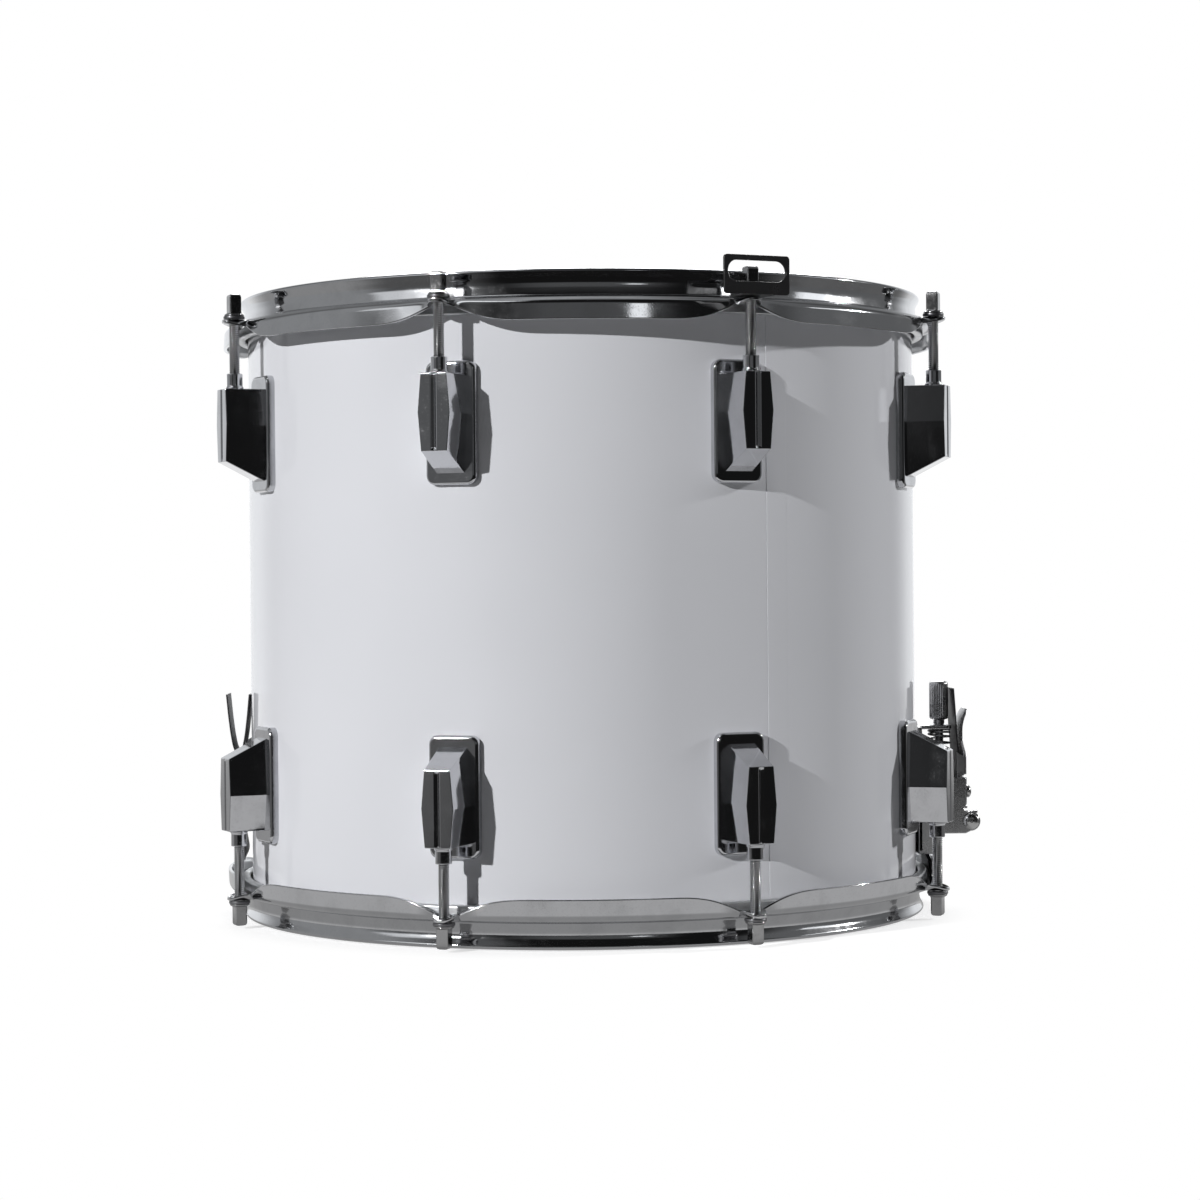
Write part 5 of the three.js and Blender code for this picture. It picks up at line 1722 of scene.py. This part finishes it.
    def clamp(self) -> list[bpy.types.Object]:
        """Returns the clamp block with a fork round each stud, the clamp plate and its two screws."""
        d = self.datum
        inner, face = d.wrap_radius + self.clamp_inner, d.wrap_radius + self.clamp_face
        stud_x, stud_z = self.stud()
        high = self.top - self.clamp_inset
        fork_top = high - self.fork_drop
        room = self.stud_radius + self.running
        foot = room + self.foot_wall
        tip = d.wrap_radius + self.foot_reach
        fork = np.concatenate([
            [[inner, stud_z - foot], [tip, stud_z - foot], [tip, stud_z - room]],
            arc((stud_x, stud_z), room, 270, 90, 16),
            [[tip, stud_z + room], [tip, stud_z + foot], [face, stud_z + foot]],
            [[face, fork_top], [inner, fork_top]],
        ])
        leg = bevelled(prism(fork, self.foot_inner, self.clamp_half, Axis.Y), 0.25, 2, 40)
        bar = box((inner, face), (-self.clamp_half, self.clamp_half), (high - self.clamp_height, high))
        block = Piece("strainer_clamp_block.milled", d)
        block.add(DARK_CHROME, bevelled(bar, 0.4, 3), leg, leg.mirrored())
        return [block.make("strainer_clamp", "strainer_chrome"), *clamp_top(d, "strainer", "strainer_clamp")]

    def build(self) -> list[bpy.types.Object]:
        """Builds the strainer's pieces."""
        first = [self.base(), self.knob(), self.spring(), self.carriage(), *self.pivot_screws()]
        return [*first, self.lever(), *self.clamp()]


def clamp_top(datum: Datum, holder: str, body: str) -> list[bpy.types.Object]:
    """Makes a strap's clamp plate and its two slotted screws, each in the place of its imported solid.

    Args:
        datum: where the drum's middle lies.
        holder: whose clamp it is, the strainer's or the butt's.
        body: what they ride on.

    Returns:
        The plate and the screws.
    """
    head_height, head_gap, head_radius, shank_radius, slot = 2.58, 0.02, 3.4, 1.75, 1.0
    node = f"{holder}_clamp_plate"
    low, high = datum.span(node)
    centre = (0.0, (low[2] + high[2]) / 2)
    patch = plate(high[1] - low[1], high[2] - low[2], 1.4, low[0], high[0], centre, 0.35)
    made = [Piece(f"{node}.plate", datum).add(DARK_CHROME, patch).make(body, "strainer_chrome")]
    for side in ("front", "back"):
        node = f"{holder}_clamp_screw_{side}"
        low, high = datum.span(node)
        outward = 1 if low[0] > 0 else -1
        tip, crown = np.sort(np.abs([low[0], high[0]]))
        under = crown - head_height - head_gap
        screw = domed_screw(tip, under, shank_radius, head_radius, head_height, slot)
        along = Patch(screw.points[:, [2, 1, 0]] * np.array([outward, 1, 1]), screw.faces).outward()
        patch = along.moved(y=(low[1] + high[1]) / 2, z=(low[2] + high[2]) / 2)
        made.append(Piece(f"{node}.domed", datum).add(SCREW_STEEL, patch).make(body, "fastener_steel"))
    return made


@dataclass
class Butt:
    """The butt: a plate with a raised pad, a clamp plate and two screws, on the -X side."""

    datum: Datum
    wall: float = 7.5
    metal: float = 2.0
    corner: float = 3.0
    edge_width: float = 0.4
    pad_reach: float = 5.3
    pad_half: float = 18.0
    pad_inset: float = 4.0
    pad_corner: float = 1.5
    pad_edge: float = 0.5
    screw_inset: float = 10.0

    def build(self) -> list[bpy.types.Object]:
        """Builds the butt's pieces."""
        d = self.datum
        low, high = d.span("butt_base")
        level_low, level_high = low[2], high[2]
        middle = (0.0, (level_low + level_high) / 2)
        width = high[1] - low[1]
        height = level_high - level_low
        face = d.wrap_radius + self.pad_reach
        piece = Piece("butt_base.cast", d)
        base = plate(width, height, self.corner, d.under, d.back + self.metal, middle, self.edge_width)
        pad_height = height - 2 * self.pad_inset
        pad = plate(2 * self.pad_half, pad_height, self.pad_corner, d.back, face, middle, self.pad_edge)
        piece.add(DARK_CHROME, base.turned(HALF_TURN), pad.turned(HALF_TURN))
        for level in (level_high - self.screw_inset, level_low + self.screw_inset):
            piece.add(SCREW_STEEL, shell_screw(d, self.wall, face - 1, level).turned(HALF_TURN))
        return [piece.make("drum", "strainer_chrome"), *clamp_top(d, "butt", "drum")]


@dataclass
class SnareSet:
    """The snares: strands of coiled wire with an end plate at each side, and the two straps."""

    datum: Datum
    width: float = 24.0
    thickness: float = 0.8
    seat: float = 0.3
    film: float = 0.4
    layer_gap: float = 0.5
    fold_inset: float = 46.0
    turn_gap: float = 8.2
    upright: float = 8.0
    low_gap: float = 3.7
    low_drop: float = 23.0
    elbow_gap: float = 13.5
    elbow_rise: float = 5.5
    clamp_height: float = 11.5
    clamp_travel: float = 5.6
    tail_spread: float = 5.38
    butt_tail: float = 32.0
    strainer_tail: float = 52.0
    tail_lean: float = 3.6
    strainer_shares: tuple[float, ...] = (0.3, 0.65, 1.0)
    butt_shares: tuple[float, ...] = (0.12, 0.35, 0.65, 1.0)
    bend_round: float = 2.6
    strands: int = 12
    strand_pitch: float = 2.2
    coil_width: float = 1.3
    coil_pitch: float = 1.45
    wire: float = 0.42
    plate_length: float = 15.0
    plate_width: float = 30.0
    plate_metal: float = 1.2
    plate_corner: float = 1.5
    bar: float = 3.0
    slot: float = 3.4
    slot_corner: float = 0.8

    @property
    def film_under(self) -> float:
        """The snare head's outer face."""
        return -(self.datum.edge + self.seat + self.film)

    @property
    def bar_end(self) -> float:
        """Where the strap folds round the end plate's bar, from the axis."""
        return self.datum.wrap_radius - self.fold_inset

    @property
    def bar_top(self) -> float:
        """The end plates' upper face."""
        return self.film_under - 2 * self.seat - self.thickness

    @property
    def layer(self) -> float:
        """How far each layer's middle lies from the pair's middle."""
        return (self.layer_gap + self.thickness) / 2

    def shared_stops(self) -> list[list[float]]:
        """Returns the stops of both straps up to the gate: X, Z and the layers' half spread."""
        bar_middle = self.bar_top - self.plate_metal / 2
        bar_offset = self.plate_metal / 2 + self.seat + self.thickness / 2
        gate = self.datum.wrap_radius + self.turn_gap
        corner = arc((gate - self.turn_gap, bar_middle + self.turn_gap), self.turn_gap, -75, -15, 4)
        return [
            [self.bar_end, bar_middle, bar_offset],
            [self.bar_end + 2 * self.bar, bar_middle, bar_offset],
            [gate - 2 * self.turn_gap, bar_middle, self.layer],
            *[[x, z, self.layer] for x, z in corner],
            [gate, bar_middle + self.turn_gap + self.upright, self.layer],
        ]

    def strip(self, stops: list[list[float]], outer_tail: np.ndarray, inner_tail: np.ndarray) -> Patch:
        """A strap: one strip in two layers, folded round the bar, as a round-edged section along a path.

        Each layer lies to one side of the stops by their half spread, square to the pair's direction.

        Args:
            stops: X, Z and half spread of the pair's middle.
            outer_tail: the outer layer's further points.
            inner_tail: the inner layer's further points.

        Returns:
            The closed strip as it lies on the +X side.
        """
        table = np.array(stops)
        middle, spread = table[:, :2], table[:, 2:]
        along = np.gradient(middle, axis=0)
        along /= np.linalg.norm(along, axis=1, keepdims=True)
        side = np.stack([along[:, 1], -along[:, 0]], axis=-1)
        lower, upper = middle + side * spread, middle - side * spread
        fold_angle = np.radians(np.linspace(112.5, 247.5, 7))
        fold = middle[0] + spread[0] * np.stack([np.cos(fold_angle), np.sin(fold_angle)], axis=-1)
        line = np.concatenate([inner_tail[::-1], upper[::-1], fold, lower, outer_tail])
        path = eased(line, self.bend_round, 5, closed=False)
        direction = np.gradient(path, axis=0)
        direction /= np.linalg.norm(direction, axis=1, keepdims=True)
        normal = np.stack([-direction[:, 1], direction[:, 0]], axis=-1)
        section = round_box(self.width, self.thickness, 0.3, steps=3)
        x = path[:, :1] + normal[:, :1] * section[:, 1]
        z = path[:, 1:] + normal[:, 1:] * section[:, 1]
        y = np.broadcast_to(section[:, 0], x.shape)
        return tube(np.stack([x, y, z], axis=-1))

    def straps(self) -> list[bpy.types.Object]:
        """Returns the strainer's strap, a bent strip from the snares to the clamp that rides on no body, and
        the butt's with two tails.
        """
        d = self.datum
        low_x, low_z = d.wrap_radius + self.low_gap, self.low_drop - d.edge
        shared = [*self.shared_stops(), [low_x, low_z, self.layer]]
        behind = self.seat + self.thickness + self.layer_gap / 2
        block_top = d.span("strainer_clamp_block")[1, 2]
        run_low = block_top - self.clamp_height - self.clamp_travel
        strap_x = d.span("strainer_clamp_plate")[0, 0] - behind
        stops = [
            [d.wrap_radius + self.elbow_gap, low_z + self.elbow_rise, self.layer],
            [strap_x, run_low, self.layer],
            [strap_x, block_top + self.layer_gap, self.layer],
        ]
        shares = np.array(self.strainer_shares)
        leaning = strap_x + self.layer - self.tail_lean * shares
        tail = np.column_stack([leaning, block_top + self.strainer_tail * shares])
        strip = self.strip(shared + stops, tail, np.empty((0, 2)))
        piece = Piece("strainer_strap.strip", d).add(STRAP_BLACK, strip)
        strainer = piece.make("", "strap_black")
        start, end = d.point(low_x, low_z), d.point(strap_x, run_low)
        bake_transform(strainer)
        butt_plate = d.span("butt_clamp_plate")
        butt_x, pad_top = -butt_plate[1, 0] - behind, butt_plate[1, 2]
        stops = [
            [butt_x, d.span("butt_base")[0, 2] + self.layer_gap, self.layer],
            [butt_x, pad_top, self.layer],
        ]
        shares = np.array(self.butt_shares)
        spread = self.layer + np.sqrt(shares) * self.tail_spread
        levels = pad_top + shares * self.butt_tail
        outward, inward = (np.column_stack([butt_x + sign * spread, levels]) for sign in (1, -1))
        strip = self.strip(shared + stops, outward, inward).turned(HALF_TURN)
        return [strainer, Piece("butt_strap.strip", d).add(STRAP_BLACK, strip).make("drum", "strap_black")]

    def end_plate(self) -> Patch:
        """Returns the +X end plate: a ring of plate round the strap's slot."""
        outer = self.bar_end + self.bar + 3 * self.seat + 2 * self.thickness
        middle = (outer - self.plate_length / 2, 0)
        rim = round_box(self.plate_length, self.plate_width, self.plate_corner, middle)
        slot_width = self.slot + self.seat
        centre = (self.bar_end - self.slot + slot_width / 2, 0)
        slot = round_box(slot_width, self.width + 2 * self.seat, self.slot_corner, centre)
        under = self.bar_top - self.plate_metal
        sheet = stack((rim, slot, slot, rim), (self.bar_top, self.bar_top, under, under), ends=End.JOINED)
        return bevelled(sheet, 0.2, 2, 40)

    def strand(self, y: float) -> Patch:
        """Returns one strand: a thin wire along a helix about a line parallel to X.

        Args:
            y: where the strand lies across the head.
        """
        reach = self.bar_end - self.slot - self.coil_width
        radius = (self.coil_width - self.wire) / 2
        turns = int(2 * reach / self.coil_pitch)
        share = np.linspace(0, 1, turns * 6 + 1)
        angle = share * turns * TURN
        level = self.film_under - self.seat - self.coil_width / 2
        out = np.stack([np.zeros_like(angle), np.cos(angle), np.sin(angle)], axis=-1)
        line = np.stack(np.broadcast_arrays(reach * (2 * share - 1), y, level), axis=-1)
        centre = out * radius + line
        places = np.arange(3) * TURN / 3
        ring = np.cos(places)[None, :, None] * out[:, None, :]
        ring = ring + np.sin(places)[None, :, None] * np.array([1.0, 0, 0])
        return tube(centre[:, None, :] + ring * self.wire / 2)

    def wires(self) -> bpy.types.Object:
        """Returns the strands and their end plates as one piece."""
        end_plate = self.end_plate()
        across = (np.arange(self.strands) - (self.strands - 1) / 2) * self.strand_pitch
        strands = [self.strand(float(y)) for y in across]
        piece = Piece("snare_wires.coils", self.datum)
        piece.add(SNARE_STEEL, end_plate, end_plate.turned(HALF_TURN), *strands)
        return piece.make("drum", "snare_steel")

    def build(self) -> list[bpy.types.Object]:
        """Builds the straps and the wires."""
        return [*self.straps(), self.wires()]


# Studio


@dataclass(frozen=True)
class Lamp:
    """A distant lamp. Azimuth 0 is the camera's side and grows to the right; angles are in degrees."""

    name: str
    azimuth: float
    elevation: float
    spread: float
    strength: float

    def build(self) -> None:
        """Adds the lamp as a sun that shines from its direction."""
        lamp = bpy.data.lights.new(self.name, "SUN")
        lamp.energy = self.strength
        lamp.angle = math.radians(self.spread)
        sun = placed(self.name, lamp)
        sun.rotation_euler = (math.radians(90 - self.elevation), 0, math.radians(self.azimuth))


@dataclass(frozen=True)
class Glow:
    """A soft-edged bright patch that only reflections see, placed as a lamp is."""

    azimuth: float
    elevation: float
    half_width: float
    half_height: float
    strength: float
    soft: float

    def shade(self, azimuth: Shade, elevation: Shade) -> Shade:
        """Returns the patch's light in a direction, both of whose angles are in degrees."""
        lit: Shade | float = self.strength
        for angle, middle, half in (
            (azimuth, self.azimuth, self.half_width), (elevation, self.elevation, self.half_height)
        ):
            off = (angle - middle).function("ABSOLUTE")
            lit = lit * (1 - off.smooth(half - self.soft, half + self.soft))
        return lit


@dataclass
class Studio:
    """The floor, the lamps, the world and the camera, in metres and degrees."""

    floor_radius: float = 3.0
    shadow_inner: float = 0.17
    shadow_outer: float = 0.215
    # Painted light on the floor as reflections see it: a dimmer painted foot by the drum and a bright painted
    # ring round it.
    painted_foot_light: float = 0.36
    ring_inner: float = 0.20
    ring_outer: float = 0.37
    ring_soft: float = 0.035
    painted_ring_light: float = 0.56
    camera_place: tuple[float, float, float] = (-0.06142, -1.5247, -0.13834)
    camera_turn: tuple[float, float, float] = (89.556, 0.497, -2.67)
    lens: float = 84.81
    ambient: float = 0.02
    bounce: float = 0.36
    floor_gap: float = 0.0004
    floor_places: int = 96
    paper_light: float = 0.5
    front_light: float = 0.01
    left_sides: tuple[tuple[float, float, float], ...] = ((26, 44, 0.11), (64, 84, 0.24))
    right_side: tuple[float, float, float] = (52, 76, 0.15)
    behind: tuple[float, float] = (128, 150)
    bank_light: float = 0.09
    bank_turn: tuple[float, float] = (10, 34)
    bank_rise: tuple[float, float] = (-4, 4)
    bank_top: tuple[float, float] = (20, 32)
    back_dim: float = 0.75
    back_turn: tuple[float, float] = (110, 140)
    back_rise: tuple[float, float] = (8, 30)
    ceiling: tuple[float, float] = (66, 80)
    ceiling_light: float = 0.2
    lamps: tuple[Lamp, ...] = (
        Lamp("key", -48.0, 20.0, 1.2, 2.7),
        Lamp("side", 101.0, 22.0, 2.5, 1.95),
        Lamp("back", 176.0, 34.0, 24.0, 1.5),
    )
    glows: tuple[Glow, ...] = (
        Glow(-52.0, 60.0, 22.0, 6.0, 1.5, 4.0),
        Glow(92.0, 60.0, 16.0, 3.0, 0.7, 4.0),
        Glow(-66.0, 24.0, 12.0, 12.0, 0.9, 5.0),
        Glow(16.0, 11.0, 3.0, 2.5, 1.4, 1.0),
        Glow(88.0, 22.0, 10.0, 4.0, 1.5, 2.0),
    )

    def camera(self) -> None:
        """Adds the camera at the photograph's angle and field of view."""
        lens = bpy.data.cameras.new("camera")
        lens.sensor_width = 36.0
        lens.lens = self.lens
        lens.clip_end = 20.0
        camera = placed("camera", lens)
        camera.location = self.camera_place
        camera.rotation_euler = [math.radians(angle) for angle in self.camera_turn]
        bpy.context.scene.camera = camera

    def floor(self) -> None:
        """Adds the floor: a disc under the drum that keeps the shadow near it and is white further out."""
        places = self.floor_places
        angle = np.arange(places) * TURN / places
        radius = np.linspace(0.02, self.floor_radius, 12)[:, None]
        low = CAD_BOX[0].z - self.floor_gap
        patch = tube(Axis.Z.place(radius * np.cos(angle), radius * np.sin(angle), low), End.OPEN)
        mesh = bpy.data.meshes.new("floor")
        mesh.from_pydata(patch.points.tolist(), [], [*patch.faces[0][:, ::-1].tolist(), list(range(places))])
        disc = placed("floor", mesh)
        material = bpy.data.materials.new("floor_paper")
        material.use_nodes = True
        self.paper(Recipe(material.node_tree))
        mesh.materials.append(material)

    def paper(self, recipe: Recipe) -> None:
        """Writes the floor's nodes: shaded paper near the foot, white further out, and for reflections
        painted light, a dimmer painted foot and a bright painted ring before the room beyond.

        Args:
            recipe: the floor material's nodes.
        """
        place = recipe.place()
        x, y, _ = place.parts()
        out_from = (x * x + y * y).function("SQRT")
        away = out_from.smooth(self.shadow_inner, self.shadow_outer)
        # Reflections see painted light here: a bright ring round the drum and, inside it, a dimmer painted
        # shade at the foot.
        ring = out_from.smooth(self.ring_inner, self.ring_inner + self.ring_soft)
        ring = ring * (1 - out_from.smooth(self.ring_outer, self.ring_outer + self.ring_soft))
        foot = 1 - out_from.smooth(self.ring_inner, self.ring_inner + self.ring_soft)
        near = ring * self.painted_ring_light + foot * self.painted_foot_light
        seen, glossy = recipe.rays()
        grain = recipe.noise(place, 4.0, 3.0)
        sheet = recipe.mixed(grain, (0.86, 0.86, 0.87, 1), (0.9, 0.9, 0.91, 1))
        paper = recipe.node("ShaderNodeBsdfPrincipled", {
            "Base Color": recipe.mixed(seen, rgba((self.bounce,) * 3), sheet),
            "Roughness": 0.9,
            "Specular IOR Level": 0.0,
            "Emission Color": recipe.mixed(seen, BLACK, WHITE),
            "Emission Strength": self.paper_light,
        })
        # Reflections see this painted brightness as an emission, not the lamps' light and shadow on the
        # paper.
        shown = near.function("MAXIMUM", self.level(self.bearing(x, y)))
        colour = recipe.mixed(glossy * (1 - shown), WHITE, BLACK)
        # The emission is white to the camera and the painted floor light to reflections.
        white = recipe.node("ShaderNodeEmission", {"Color": colour, "Strength": 1.0})
        mix = recipe.node("ShaderNodeMixShader", {"Fac": (away * seen).function("MAXIMUM", glossy)})
        for place_in_mix, shader in ((1, paper), (2, white)):
            recipe.tree.links.new(shader.outputs[0], mix.inputs[place_in_mix])
        recipe.end(mix)

    @staticmethod
    def bearing(x: Shade, y: Shade) -> Shade:
        """Returns the direction of a place seen from the drum, in degrees as a lamp's azimuth is."""
        return x.function("ARCTAN2", 0 - y) * (360 / TURN)

    def level(self, azimuth: Shade) -> Shade:
        """Returns how light the room is at the drum's height: dark in front, white behind."""
        turned = azimuth.function("ABSOLUTE")
        left = 0 - azimuth
        start, stop, light = self.right_side
        lit = self.front_light + azimuth.smooth(start, stop) * light
        for start, stop, light in self.left_sides:
            lit = lit + left.smooth(start, stop) * light
        return lit + (1 - lit) * turned.smooth(*self.behind)

    def room(self, recipe: Recipe) -> Shade:
        """Returns what reflections see: a dark room before the drum, grey sides and a white backdrop.

        Args:
            recipe: the world's nodes.
        """
        direction = Shade(recipe, recipe.node("ShaderNodeTexCoord").outputs["Generated"])
        x, y, z = direction.parts()
        azimuth = self.bearing(x, y)
        elevation = z.function("ARCSINE") * (360 / TURN)
        turned = azimuth.function("ABSOLUTE")
        bank = (1 - turned.smooth(*self.bank_turn)) * elevation.smooth(*self.bank_rise)
        bank = bank * (1 - elevation.smooth(*self.bank_top)) * self.bank_light
        back = turned.smooth(*self.back_turn) * elevation.smooth(*self.back_rise) * self.back_dim
        lit = self.level(azimuth) * (1 - back) + bank + elevation.smooth(*self.ceiling) * self.ceiling_light
        for glow in self.glows:
            lit = lit.function("MAXIMUM", glow.shade(azimuth, elevation))
        return lit

    def world(self) -> None:
        """Sets the world: white to the camera, an even grey to surfaces, and the room to reflections."""
        world = bpy.data.worlds.new("studio")
        world.use_nodes = True
        bpy.context.scene.world = world
        recipe = Recipe(world.node_tree)
        seen, glossy = recipe.rays()
        unseen = glossy * self.room(recipe) + (1 - glossy) * self.ambient
        colour = recipe.mixed(seen, (0.96, 0.98, 1.0, 1), WHITE)
        values = {"Color": colour, "Strength": seen + (1 - seen) * unseen}
        recipe.end(recipe.node("ShaderNodeBackground", values), "ShaderNodeOutputWorld")

    def build(self) -> None:
        """Builds the studio."""
        self.camera()
        self.floor()
        self.world()
        for lamp in self.lamps:
            lamp.build()
        bpy.context.scene.view_settings.view_transform = "Standard"


def main() -> None:
    """Builds the studio and every sub-assembly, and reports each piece."""
    logging.basicConfig(level=logging.INFO, format="%(name)s: %(message)s")
    datum = Datum.read()
    Studio().build()
    assemblies = [
        ShellWork(datum),
        Heads(datum, Side.BATTER),
        Heads(datum, Side.SNARE),
        CounterHoop(datum, Side.BATTER),
        CounterHoop(datum, Side.SNARE, gates=(0.0, HALF_TURN)),
        Lug(datum),
        TensionRod(datum),
        SlingBracket(datum),
        Strainer(datum),
        Butt(datum),
        SnareSet(datum),
    ]
    for assembly in assemblies:
        for piece in assembly.build():
            log.info("%s: %s with %d faces", type(assembly).__name__, piece.name, len(piece.data.polygons))


if __name__ == "__main__":
    main()
